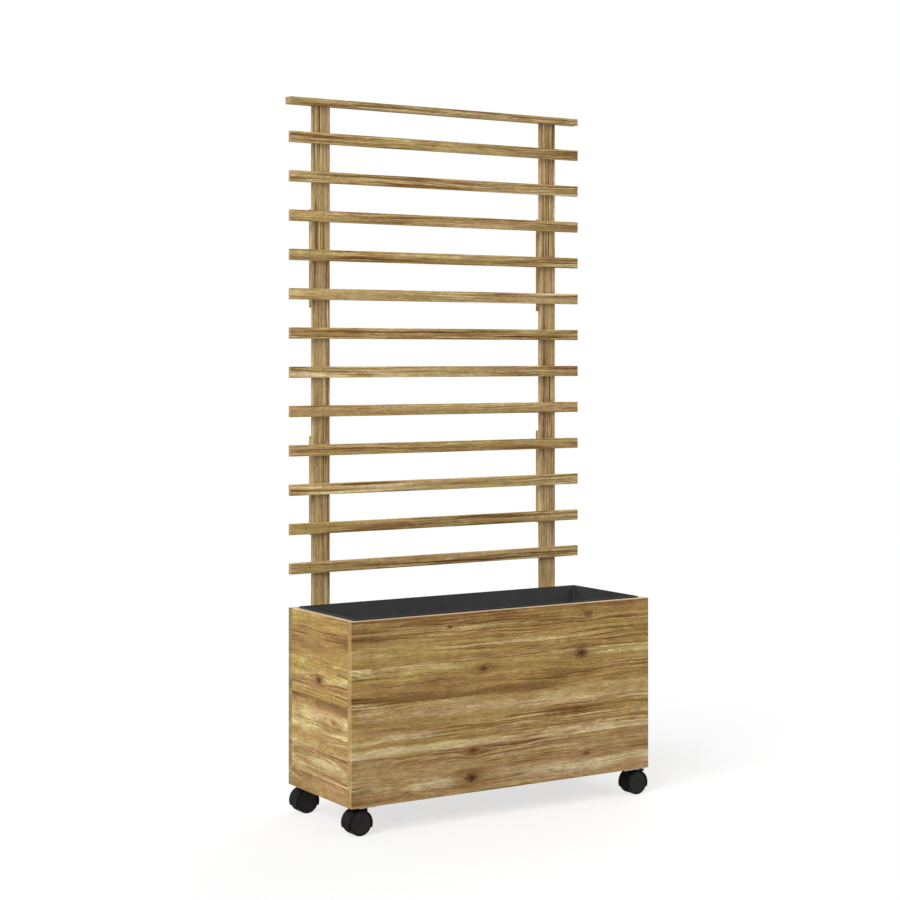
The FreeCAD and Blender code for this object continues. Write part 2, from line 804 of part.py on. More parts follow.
def plate_screws():
    """Four screws through each caster's plate."""
    body = new_body("plate_screws")
    pin = headed_pin(
        body, "screw_head_diameter / 2", "screw_head_height", "screw_diameter / 2", "plate_screw_length",
    )
    repeat_grid(body, pin, "grid", (
        ("X_Axis", 2, "2 * plate_hole_x"),
        ("X_Axis", 2, "trough_length - 2 * swivel_inset_end"),
        ("Y_Axis", 2, "2 * plate_hole_y"),
        ("Y_Axis", 2, "trough_depth - 2 * swivel_inset_side"),
    ))
    place(
        body, "-half_length + swivel_inset_end - plate_hole_x",
        "trough_back - swivel_inset_side + plate_hole_y", "caster_height - plate_thickness", UPSIDE_DOWN,
    )
    return body


# Casters. A caster is drawn with its swivel axis on local Z and its wheels out along +X.


def caster_plate(name, corner_x, corner_y):
    """One mounting plate with its four screw holes and the hole for the stem."""
    body = doc.addObject("PartDesign::Body", name)
    feature(
        body, "AdditiveBox", "plate",
        Length="plate_length", Width="plate_width", Height="plate_thickness",
    )
    up = FreeCAD.Vector(0, 0, 1)
    round_edges(body, "corners", "plate_corner", lambda edge: lies_along(edge, up))
    hole = feature(
        body, "SubtractiveCylinder", "screw_hole",
        x_text="plate_hole_inset", y_text="plate_hole_inset", z_text="-overrun",
        Radius="screw_diameter / 2 + screw_play", Height="plate_thickness + 2 * overrun",
    )
    repeat_grid(body, hole, "screw_holes", (
        ("X_Axis", 2, "2 * plate_hole_x"),
        ("Y_Axis", 2, "2 * plate_hole_y"),
    ))
    feature(
        body, "SubtractiveCylinder", "stem_hole",
        x_text="plate_length / 2", y_text="plate_width / 2", z_text="-overrun",
        Radius="stem_diameter / 2", Height="plate_thickness + 2 * overrun",
    )
    place(
        body, f"{corner_x} - plate_length / 2", f"{corner_y} - plate_width / 2",
        "caster_height - plate_thickness",
    )
    return body


def corner_place(side, row):
    """Where the swivel axis of a corner's caster stands."""
    corner_x = f"{side} * (half_length - swivel_inset_end)"
    corner_y = f"trough_middle + {row} * (trough_depth / 2 - swivel_inset_side)"
    return corner_x, corner_y


def caster_plates():
    """The four mounting plates, as one group of separate solids."""
    plates = [
        caster_plate(f"{corner_name}_plate", *corner_place(side, row))
        for corner_name, side, row in CORNERS
    ]
    return group("caster_plates", plates)


def swivel_stems():
    """The four stems: a pin riveted in the plate, with a race under the plate."""
    body = new_body("swivel_stems")
    sketch = outline(body, "profile", "XZ_Plane", (
        ("0", "-race_height - stem_depth"),
        ("stem_diameter / 2", "-race_height - stem_depth"),
        ("stem_diameter / 2", "-race_height"),
        ("race_diameter / 2 - race_height / 2", "-race_height"),
        ("race_diameter / 2", "0"),
        ("stem_diameter / 2", "0"),
        ("stem_diameter / 2", "plate_thickness"),
        ("0", "plate_thickness"),
    ))
    pin = body.newObject("PartDesign::Revolution", "swivel_stems_pin")
    pin.Profile = sketch
    pin.ReferenceAxis = (sketch, ["V_Axis"])
    pin.Angle = 360
    body.Tip = pin
    repeat_grid(body, pin, "grid", (
        ("X_Axis", 2, "trough_length - 2 * swivel_inset_end"),
        ("Y_Axis", 2, "trough_depth - 2 * swivel_inset_side"),
    ))
    place(
        body, "-half_length + swivel_inset_end", "trough_front + swivel_inset_side",
        "caster_height - plate_thickness",
    )
    return body


def hood(name, corner_x, corner_y, side, braked):
    """The hood over both wheels, with the web between them and the socket for the stem."""
    body = new_body(name)
    feature(
        body, "AdditiveCylinder", "drum",
        x_text="trail", y_text="-caster_width / 2", z_text="wheel_radius", turn=ALONG_Y,
        Radius="hood_radius", Height="caster_width",
    )
    radius = value_of("hood_radius")
    round_edges(body, "rims", "hood_round", lambda edge: is_circle(edge, radius))
    feature(
        body, "SubtractiveBox", "skirt_cut",
        x_text="trail - hood_radius - overrun", y_text="-caster_width / 2 - overrun",
        z_text="wheel_radius - hood_radius - overrun",
        Length="2 * (hood_radius + overrun)", Width="caster_width + 2 * overrun",
        Height="hood_radius - hood_skirt_drop + overrun",
    )
    for label, start in (("near", "-caster_width / 2 - overrun"), ("far", "web_width / 2")):
        feature(
            body, "SubtractiveCylinder", f"{label}_wheel_well",
            x_text="trail", y_text=start, z_text="wheel_radius", turn=ALONG_Y,
            Radius="hood_inner_radius", Height="(caster_width - web_width) / 2 + overrun",
        )
    feature(
        body, "AdditiveCylinder", "boss", z_text="boss_top - boss_depth",
        Radius="boss_diameter / 2", Height="boss_depth",
    )
    for label, start in (("near", "-caster_width / 2"), ("far", "web_width / 2")):
        feature(
            body, "SubtractiveCylinder", f"{label}_boss_trim",
            x_text="trail", y_text=start, z_text="wheel_radius", turn=ALONG_Y,
            Radius="hood_inner_radius", Height="(caster_width - web_width) / 2",
        )
    feature(
        body, "SubtractiveCylinder", "stem_socket",
        z_text="caster_height - plate_thickness - race_height - stem_depth - drill_over",
        Radius="stem_diameter / 2 + stem_play", Height="stem_depth + drill_over + overrun",
    )
    feature(
        body, "SubtractiveCylinder", "axle_hole",
        x_text="trail", y_text="-web_width / 2 - overrun", z_text="wheel_radius", turn=ALONG_Y,
        Radius="axle_diameter / 2", Height="web_width + 2 * overrun",
    )
    if braked:
        feature(
            body, "SubtractiveBox", "lever_slot",
            x_text="lever_pin_x - lever_slot_back", y_text="-lever_thickness / 2 - lever_side_gap",
            z_text="lever_pin_z - lever_slot_drop",
            Length="lever_slot_back + hood_radius", Width="lever_thickness + 2 * lever_side_gap",
            Height="hood_radius",
        )
        feature(
            body, "SubtractiveCylinder", "lever_pin_hole",
            x_text="lever_pin_x", y_text="-web_width / 2 - overrun", z_text="lever_pin_z", turn=ALONG_Y,
            Radius="lever_pin_diameter / 2", Height="web_width + 2 * overrun",
        )
    place(body, corner_x, corner_y, "0", UPRIGHT if side > 0 else HALF_TURN)
    return body


def axle(name, wheel_x, corner_y):
    """The axle, held in the web and carrying a wheel on each end."""
    body = new_body(name)
    feature(
        body, "AdditiveCylinder", "pin", y_text="-axle_length / 2", turn=ALONG_Y,
        Radius="axle_diameter / 2", Height="axle_length",
    )
    place(body, wheel_x, corner_y, "wheel_radius")
    return body


def wheel(name, wheel_x, corner_y, facing):
    """A wheel with a closed outer face; its inner face is at local Y zero."""
    body = new_body(name)
    sketch = outline(body, "profile", "XY_Plane", (
        ("axle_diameter / 2 + axle_play", "0"),
        ("wheel_hub_diameter / 2", "0"),
        ("wheel_hub_diameter / 2", "hub_depth"),
        ("wheel_radius - wheel_rim", "hub_depth"),
        ("wheel_radius - wheel_rim", "0"),
        ("wheel_radius", "0"),
        ("wheel_radius", "wheel_width"),
        ("0", "wheel_width"),
        ("0", "hub_depth"),
        ("axle_diameter / 2 + axle_play", "hub_depth"),
    ))
    turned = body.newObject("PartDesign::Revolution", f"{name}_turned")
    turned.Profile = sketch
    turned.ReferenceAxis = (sketch, ["V_Axis"])
    turned.Angle = 360
    body.Tip = turned
    radius = value_of("wheel_radius")
    round_edges(body, "tread", "tread_round", lambda edge: is_circle(edge, radius))
    offset = "web_width / 2 + wheel_gap"
    if facing > 0:
        place(body, wheel_x, f"{corner_y} + {offset}", "wheel_radius")
    else:
        place(body, wheel_x, f"{corner_y} - ({offset})", "wheel_radius", HALF_TURN)
    return body


def brake_lever(name, corner_x, corner_y):
    """The brake lever in the slot of the hood's web, raised at rest."""
    body = new_body(name)
    points = [
        (f"lever_pin_x + {x_share} * lever_reach", f"lever_pin_z + {z_share} * lever_rise")
        for x_share, z_share in LEVER_OUTLINE_SHARES
    ]
    sketch = outline(body, "profile", "XZ_Plane", points)
    blade = body.newObject("PartDesign::Pad", f"{name}_blade")
    blade.Profile = sketch
    blade.SideType = "Symmetric"
    bind(blade, Length="lever_thickness")
    body.Tip = blade
    across = FreeCAD.Vector(0, 1, 0)
    round_edges(body, "rounds", "lever_round", lambda edge: lies_along(edge, across))
    feature(
        body, "SubtractiveCylinder", "pin_hole",
        x_text="lever_pin_x", y_text="-lever_thickness / 2 - overrun", z_text="lever_pin_z", turn=ALONG_Y,
        Radius="lever_pin_diameter / 2 + lever_pin_play", Height="lever_thickness + 2 * overrun",
    )
    place(body, corner_x, corner_y, "0")
    return body


def lever_pin(name, corner_x, corner_y):
    """The pin that the brake lever turns on."""
    body = new_body(name)
    feature(
        body, "AdditiveCylinder", "pin",
        x_text="lever_pin_x", y_text="-web_width / 2", z_text="lever_pin_z", turn=ALONG_Y,
        Radius="lever_pin_diameter / 2", Height="web_width",
    )
    place(body, corner_x, corner_y, "0")
    return body


def caster(corner_name, side, row):
    """The swivelling pieces of one caster; the right-hand ones have a brake."""
    corner_x, corner_y = corner_place(side, row)
    wheel_x = f"{corner_x} + {side} * trail"
    braked = side > 0
    hood(f"{corner_name}_hood", corner_x, corner_y, side, braked)
    axle(f"{corner_name}_axle", wheel_x, corner_y)
    wheel(f"{corner_name}_near_wheel", wheel_x, corner_y, -1)
    wheel(f"{corner_name}_far_wheel", wheel_x, corner_y, 1)
    if braked:
        brake_lever(f"{corner_name}_brake_lever", corner_x, corner_y)
        lever_pin(f"{corner_name}_lever_pin", corner_x, corner_y)


def check_document():
    """Stops if any object failed or any sub-part is not a sound solid."""
    faults = []
    for thing in doc.Objects:
        if "Invalid" in thing.State or "Error" in thing.State:
            faults.append(f"{thing.Label}: {thing.State}")
    for part in parts:
        shape = part.Shape
        if shape.isNull() or not shape.isValid() or not shape.Solids:
            faults.append(f"{part.Label}: no sound solid")
    if faults:
        raise RuntimeError("; ".join(faults))


def write_parts():
    """Writes each sub-part to its own STEP file."""
    os.makedirs("parts", exist_ok=True)
    for part in parts:
        part.Shape.exportStep(f"parts/{part.Label}.step")
        print(part.Label, len(part.Shape.Solids), "solids", round(part.Shape.Volume, 1), "mm3")
    print(len(parts), "parts")


def build():
    """Builds the whole planter."""
    fill_sheet()
    long_panel("front_panel", True)
    long_panel("back_panel", False)
    end_panel("left_end_panel", -1)
    end_panel("right_end_panel", 1)
    corner_dowels()
    bottom_board()
    cross_batten("left_cross_batten", -1)
    cross_batten("right_cross_batten", 1)
    liner()
    trellis_post("left", -1)
    trellis_post("right", 1)
    for number in range(1, SLAT_COUNT + 1):
        slat(number)
    top_rail()
    slat_brads()
    trellis_screws()
    batten_screws()
    plate_screws()
    caster_plates()
    swivel_stems()
    for corner_name, side, row in CORNERS:
        caster(corner_name, side, row)
    doc.recompute()
    check_document()
    write_parts()


build()
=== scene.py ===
"""The looks of a wooden planter on casters with a slatted trellis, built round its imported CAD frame."""

import functools
import logging
import math
from dataclasses import dataclass, field
from enum import Enum

import bmesh
import bpy
from mathutils import Matrix, Vector


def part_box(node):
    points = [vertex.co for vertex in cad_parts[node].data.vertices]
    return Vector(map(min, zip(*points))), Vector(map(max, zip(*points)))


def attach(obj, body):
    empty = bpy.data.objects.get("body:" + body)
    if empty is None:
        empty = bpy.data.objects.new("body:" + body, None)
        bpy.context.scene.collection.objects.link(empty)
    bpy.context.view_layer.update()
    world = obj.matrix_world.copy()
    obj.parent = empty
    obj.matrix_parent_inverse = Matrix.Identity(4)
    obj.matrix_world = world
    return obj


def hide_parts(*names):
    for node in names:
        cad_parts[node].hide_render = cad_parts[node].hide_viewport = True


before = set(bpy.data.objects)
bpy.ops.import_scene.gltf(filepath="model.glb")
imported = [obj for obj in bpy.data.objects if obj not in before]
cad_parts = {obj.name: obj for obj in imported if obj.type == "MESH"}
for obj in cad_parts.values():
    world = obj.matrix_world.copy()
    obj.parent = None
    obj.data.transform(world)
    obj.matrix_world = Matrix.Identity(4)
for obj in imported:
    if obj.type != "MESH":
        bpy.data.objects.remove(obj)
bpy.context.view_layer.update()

BODY = "planter"
LOG = logging.getLogger("planter")

# Points nearer than this are one point, in metres.
WELD = 1e-6

Socket = bpy.types.NodeSocket
Number = float | Socket
Colour = tuple[float, float, float]
Band = tuple[float, float]
Knot = tuple[float, float, float, float]


def linear(*channels: int) -> Colour:
    """Turns a display colour of 0 to 255 into the linear values that a shader takes."""
    shares = (value / 255 for value in channels)
    return tuple(share / 12.92 if share <= 0.04045 else ((share + 0.055) / 1.055) ** 2.4 for share in shares)


class Grain(Enum):
    """The axis that a board's grain follows."""

    ALONG_X = "x"
    ALONG_Y = "y"
    ALONG_Z = "z"


class Graph:
    """Adds nodes to a tree and links them."""

    def __init__(self, tree: bpy.types.NodeTree) -> None:
        """Wraps a node tree."""
        self.tree = tree

    def add(self, kind: str, *values: object, **settings: object) -> bpy.types.Node:
        """Adds a node.

        Args:
            kind: The node's type name.
            *values: Sockets or values for its first inputs, in order.
            **settings: Values for the node's own properties.

        Returns:
            The new node.
        """
        node = self.tree.nodes.new(kind)
        for name, value in settings.items():
            setattr(node, name, value)
        for socket, value in zip(node.inputs, values):
            self.feed(socket, value)
        return node

    def feed(self, socket: Socket, value: object) -> None:
        """Links a socket to another one, or sets its own value.

        Args:
            socket: The input to feed.
            value: An output socket or a plain value.
        """
        if isinstance(value, Socket):
            self.tree.links.new(value, socket)
        elif socket.type == "RGBA":
            socket.default_value = (*value, 1.0)
        else:
            socket.default_value = value

    def wire(self, node: bpy.types.Node, **values: object) -> bpy.types.Node:
        """Feeds a node's inputs by name.

        Args:
            node: The node.
            **values: Sockets or values, by input name with underscores for spaces.

        Returns:
            The same node.
        """
        for name, value in values.items():
            self.feed(node.inputs[name.replace("_", " ")], value)
        return node

    def math(self, operation: str, *values: Number) -> Socket:
        """Adds a Math node that works on the values in order."""
        return self.add("ShaderNodeMath", *values, operation=operation).outputs[0]

    def sum(self, *values: Number) -> Socket:
        """Adds numbers up."""
        return functools.reduce(lambda first, other: self.math("ADD", first, other), values)

    def product(self, *values: Number) -> Socket:
        """Multiplies numbers."""
        return functools.reduce(lambda first, other: self.math("MULTIPLY", first, other), values)

    def around(self, value: Number, middle: float, scale: float) -> Socket:
        """Takes the middle off a number and scales what is left."""
        return self.math("MULTIPLY", self.math("SUBTRACT", value, middle), scale)

    def split(self, vector: Socket) -> tuple[Socket, Socket, Socket]:
        """Takes a vector apart into its three numbers."""
        return tuple(self.add("ShaderNodeSeparateXYZ", vector).outputs)

    def grey(self, value: Number) -> Socket:
        """Makes a grey colour of a number."""
        return self.combine(value, value, value)

    def combine(self, x: Number, y: Number, z: Number) -> Socket:
        """Joins three numbers to a vector."""
        return self.add("ShaderNodeCombineXYZ", x, y, z).outputs[0]

    def noise(self, vector: Socket, scale: float = 1.0, detail: float = 2.0, rough: float = 0.5) -> Socket:
        """Adds a Noise Texture.

        Args:
            vector: Where the texture is read.
            scale: Its scale.
            detail: Its octaves.
            rough: How strong the finer octaves are.

        Returns:
            The socket of its value, about 0 to 1.
        """
        texture = self.add("ShaderNodeTexNoise")
        return self.wire(texture, Vector=vector, Scale=scale, Detail=detail, Roughness=rough).outputs[0]

    def remap(
        self, value: Number, low: float, high: float, to_low: float = 0.0, to_high: float = 1.0,
    ) -> Socket:
        """Maps a range smoothly to another one.

        Args:
            value: The number to map.
            low: Where the range starts.
            high: Where the range ends.
            to_low: The result at the start.
            to_high: The result at the end.

        Returns:
            The result's socket.
        """
        values = (value, low, high, to_low, to_high)
        return self.add("ShaderNodeMapRange", *values, interpolation_type="SMOOTHSTEP").outputs[0]

    def mix(self, share: Number, first: object, second: object, mode: str = "MIX") -> Socket:
        """Mixes two colours.

        Args:
            share: How much of the second one shows.
            first: The first colour.
            second: The second colour.
            mode: The way they are blended.

        Returns:
            The colour's socket.
        """
        node = self.add("ShaderNodeMix", share, data_type="RGBA", blend_type=mode)
        self.feed(node.inputs[6], first)
        self.feed(node.inputs[7], second)
        return node.outputs[2]

    def group(self, tree: bpy.types.NodeTree, **values: object) -> bpy.types.Node:
        """Places a node group and feeds its inputs by name."""
        return self.wire(self.add("ShaderNodeGroup", node_tree=tree), **values)


def open_group(
    name: str, inputs: dict[str, str], outputs: dict[str, str],
) -> tuple[Graph, dict[str, Socket], bpy.types.Node]:
    """Starts a shader node group with named sockets.

    Args:
        name: The group's name.
        inputs: Socket kinds by input name.
        outputs: Socket kinds by output name.

    Returns:
        The graph, the sockets that the inputs give, and the node that takes the results.
    """
    tree = bpy.data.node_groups.new(name, "ShaderNodeTree")
    for way, sockets in (("INPUT", inputs), ("OUTPUT", outputs)):
        for label, kind in sockets.items():
            tree.interface.new_socket(name=label, in_out=way, socket_type=f"NodeSocket{kind}")
    graph = Graph(tree)
    given = graph.add("NodeGroupInput").outputs
    return graph, {label: given[label] for label in inputs}, graph.add("NodeGroupOutput")


class SharedEffects:
    """The shader node groups that several finishes use."""

    def __init__(self) -> None:
        """Builds each group once."""
        self.grain = self._grain()
        self.knot = self._knot()
        self.scuffs = self._scuffs()
        self.moulded_skin = self._moulded_skin()

    @staticmethod
    def _grain() -> bpy.types.NodeTree:
        """Sawn wood: bands, streaks, hairlines and fibres that wander along the board.

        Returns:
            The group's tree. Its Vector has X along the grain and Y across the face.
        """
        graph, take, end = open_group(
            "sawn grain",
            {
                "Vector": "Vector", "Bend": "Float", "Seed": "Float", "Tone": "Float", "Contrast": "Float",
                "Figure": "Float", "Fineness": "Float", "Wander": "Float", "Pale": "Color", "Middle": "Color",
                "Dark": "Color",
            },
            {"Color": "Color", "Roughness": "Float", "Height": "Float"},
        )
        along, across, deep = graph.split(take["Vector"])

        def drawn(
            height: Socket, along_scale: float, cross_scale: float, turn: float, **settings: float,
        ) -> Socket:
            """Adds noise that is drawn out along the grain.

            Args:
                height: The coordinate across the grain.
                along_scale: Its scale along the grain.
                cross_scale: Its scale across the grain.
                turn: How far the seed moves it.
                **settings: Its detail and roughness.

            Returns:
                The noise's socket.
            """
            fine = graph.product(take["Fineness"], cross_scale)
            third = graph.sum(graph.product(deep, fine), graph.product(take["Seed"], turn))
            point = graph.combine(graph.product(along, along_scale), graph.product(height, fine), third)
            return graph.noise(point, **settings)

        slow = graph.around(drawn(across, 3.2, 12.0, 3.7, detail=2.0), 0.5, 0.022)
        quick = graph.around(drawn(across, 13.0, 52.0, 6.1, detail=2.0), 0.5, 0.0052)
        level = graph.sum(across, graph.product(graph.sum(slow, quick), take["Wander"]), take["Bend"])

        broad = drawn(level, 1.8, 40.0, 7.9, detail=2.0)
        streak = drawn(level, 3.6, 125.0, 5.3, detail=3.0, rough=0.66)
        hairline = drawn(level, 4.4, 300.0, 9.1, detail=3.0, rough=0.60)
        fibre = drawn(across, 72.0, 330.0, 2.3, detail=3.0, rough=0.74)
        thread = drawn(level, 24.0, 1250.0, 3.3, detail=2.0)
        gleam = drawn(level, 44.0, 40.0, 6.7, detail=2.0)
        pore = graph.remap(drawn(level, 55.0, 900.0, 1.3, detail=1.0), 0.62, 0.72)
        cloud = drawn(level, 14.0, 50.0, 4.4, detail=3.0, rough=0.64)
        growth = graph.sum(
            graph.product(level, take["Fineness"], 105.0), graph.product(drawn(level, 1.8, 14.0, 8.3), 24.0),
        )
        ring = graph.math("FRACT", growth)
        loop = graph.math("SUBTRACT", graph.remap(ring, 0.30, 0.93), graph.remap(ring, 0.93, 1.0))

        busy = graph.remap(drawn(level, 2.2, 26.0, 2.9, detail=1.0), 0.36, 0.62, 0.22, 1.15)
        strength = graph.product(busy, take["Contrast"])
        tone = graph.sum(graph.around(broad, 0.5, 2.0), graph.around(cloud, 0.5, 1.7), take["Tone"])
        lifted = graph.mix(graph.remap(tone, 0.0, 0.8), take["Middle"], take["Pale"])
        colour = graph.mix(graph.remap(tone, 0.0, -1.0, 0.0, 0.85), lifted, take["Dark"])
        hue = drawn(level, 3.2, 72.0, 11.3, detail=3.0, rough=0.62)
        tint = graph.mix(graph.remap(hue, 0.34, 0.66), (1.04, 0.955, 1.03), (0.985, 1.03, 0.85))
        colour = graph.mix(1.0, colour, tint, mode="MULTIPLY")
        loops = graph.product(loop, take["Figure"], graph.remap(broad, 0.66, 0.40, 0.15, 1.0), busy)
        colour = graph.mix(loops, colour, take["Dark"])
        dark_streak = graph.product(graph.remap(streak, 0.50, 0.68), strength, 0.70)
        colour = graph.mix(dark_streak, colour, take["Dark"])
        pale_streak = graph.product(graph.remap(streak, 0.47, 0.32), strength, 0.50)
        colour = graph.mix(pale_streak, colour, take["Pale"])
        dark_line = graph.product(graph.remap(hairline, 0.54, 0.59), strength)
        colour = graph.mix(dark_line, colour, (0.51, 0.37, 0.19), mode="MULTIPLY")
        pale_line = graph.product(graph.remap(hairline, 0.45, 0.36), strength)
        colour = graph.mix(pale_line, colour, (1.26, 1.29, 1.34), mode="MULTIPLY")
        weave = graph.sum(
            1.0, graph.around(fibre, 0.5, 1.5), graph.around(thread, 0.5, 0.85),
            graph.around(gleam, 0.5, 0.44),
        )
        colour = graph.mix(1.0, colour, graph.grey(weave), mode="MULTIPLY")
        colour = graph.mix(graph.product(pore, 0.30), colour, take["Dark"])

        raised = graph.sum(graph.product(fibre, 0.4), graph.product(thread, 0.4))
        relief = graph.math("SUBTRACT", raised, graph.product(pore, 0.5))
        graph.wire(
            end, Color=colour, Roughness=graph.sum(0.56, graph.product(dark_streak, 0.14)),
            Height=graph.math("SUBTRACT", relief, graph.product(dark_line, 0.4)),
        )
        return graph.tree

    @staticmethod
    def _knot() -> bpy.types.NodeTree:
        """A knot: the grain parts round a crumbling dark heart.

        Returns:
            The group's tree. Its Vector has X along the grain and Y across the face.
        """
        graph, take, end = open_group(
            "knot",
            {"Vector": "Vector", "Along": "Float", "Across": "Float", "Size": "Float"},
            {"Bend": "Float", "Heart": "Float", "Core": "Float", "Halo": "Float"},
        )
        along, across, _ = graph.split(take["Vector"])
        side = graph.math("DIVIDE", graph.math("SUBTRACT", along, take["Along"]), take["Size"])
        rise = graph.math("SUBTRACT", across, take["Across"])
        lift = graph.math("DIVIDE", rise, take["Size"])

        def distance(stretch: float) -> Socket:
            """Measures from the heart in the knot's own sizes, stretched along the grain."""
            flat = graph.math("DIVIDE", side, stretch)
            return graph.math("SQRT", graph.sum(graph.product(flat, flat), graph.product(lift, lift), 0.0001))

        def ragged(along_scale: float, cross_scale: float, turn: float) -> Socket:
            """Adds the noise that frays the knot's outline."""
            point = graph.combine(graph.product(along, along_scale), graph.product(across, cross_scale), turn)
            return graph.noise(point, detail=2.0)

        reach = graph.sum(distance(1.6), graph.around(ragged(130.0, 250.0, 7.0), 0.5, 2.0))
        spread = graph.sum(distance(3.0), graph.around(ragged(60.0, 230.0, 2.0), 0.5, 2.6))
        pull = graph.remap(distance(2.6), 3.6, 0.2)
        graph.wire(
            end, Bend=graph.product(rise, pull, -0.82), Heart=graph.remap(reach, 1.55, 0.35),
            Core=graph.remap(reach, 0.65, 0.0), Halo=graph.remap(spread, 2.5, 0.4),
        )
        return graph.tree

    @staticmethod
    def _scuffs() -> bpy.types.NodeTree:
        """Handling marks and dust: soft cloudy patches and a few fine scratches.

        Returns:
            The group's tree.
        """
        graph, take, end = open_group(
            "scuffs", {"Vector": "Vector", "Scale": "Float"}, {"Dust": "Float", "Scratch": "Float"},
        )
        scaling = graph.add("ShaderNodeVectorMath", take["Vector"], operation="SCALE")
        scaled = graph.wire(scaling, Scale=take["Scale"]).outputs[0]
        x, y, z = graph.split(scaled)
        drawn = graph.combine(graph.product(x, 1.5), graph.product(y, 26.0), graph.product(z, 17.0))
        graph.wire(
            end, Dust=graph.remap(graph.noise(scaled, detail=4.0, rough=0.6), 0.45, 0.75),
            Scratch=graph.remap(graph.noise(drawn, detail=1.0), 0.70, 0.78),
        )
        return graph.tree

    @staticmethod
    def _moulded_skin() -> bpy.types.NodeTree:
        """The fine pebbled skin of a moulded plastic surface.

        Returns:
            The group's tree.
        """
        graph, take, end = open_group(
            "moulded skin",
            {"Vector": "Vector", "Base": "Color", "Worn": "Color"},
            {"Color": "Color", "Roughness": "Float", "Height": "Float"},
        )
        pebble = graph.noise(take["Vector"], scale=1400.0, detail=1.5)
        cloud = graph.noise(take["Vector"], scale=38.0, detail=3.0, rough=0.6)
        graph.wire(
            end, Color=graph.mix(graph.remap(cloud, 0.40, 0.80), take["Base"], take["Worn"]),
            Roughness=graph.sum(0.46, graph.product(cloud, 0.22)), Height=pebble,
        )
        return graph.tree


def open_material(name: str) -> tuple[bpy.types.Material, Graph, bpy.types.Node]:
    """Starts a node material.

    Args:
        name: The material's name.

    Returns:
        The material, its graph and its Principled BSDF.
    """
    material = bpy.data.materials.new(name)
    material.use_nodes = True
    material.node_tree.nodes.clear()
    graph = Graph(material.node_tree)
    shader = graph.add("ShaderNodeBsdfPrincipled")
    graph.add("ShaderNodeOutputMaterial", shader.outputs[0])
    return material, graph, shader


def bump(graph: Graph, shader: bpy.types.Node, height: Socket, strength: float, distance: float) -> None:
    """Gives a shader relief.

    Args:
        graph: The material's graph.
        shader: The Principled BSDF.
        height: The height's socket.
        strength: How strong the relief is.
        distance: How deep it is, in metres.
    """
    relief = graph.wire(graph.add("ShaderNodeBump"), Strength=strength, Distance=distance, Height=height)
    graph.wire(shader, Normal=relief.outputs[0])


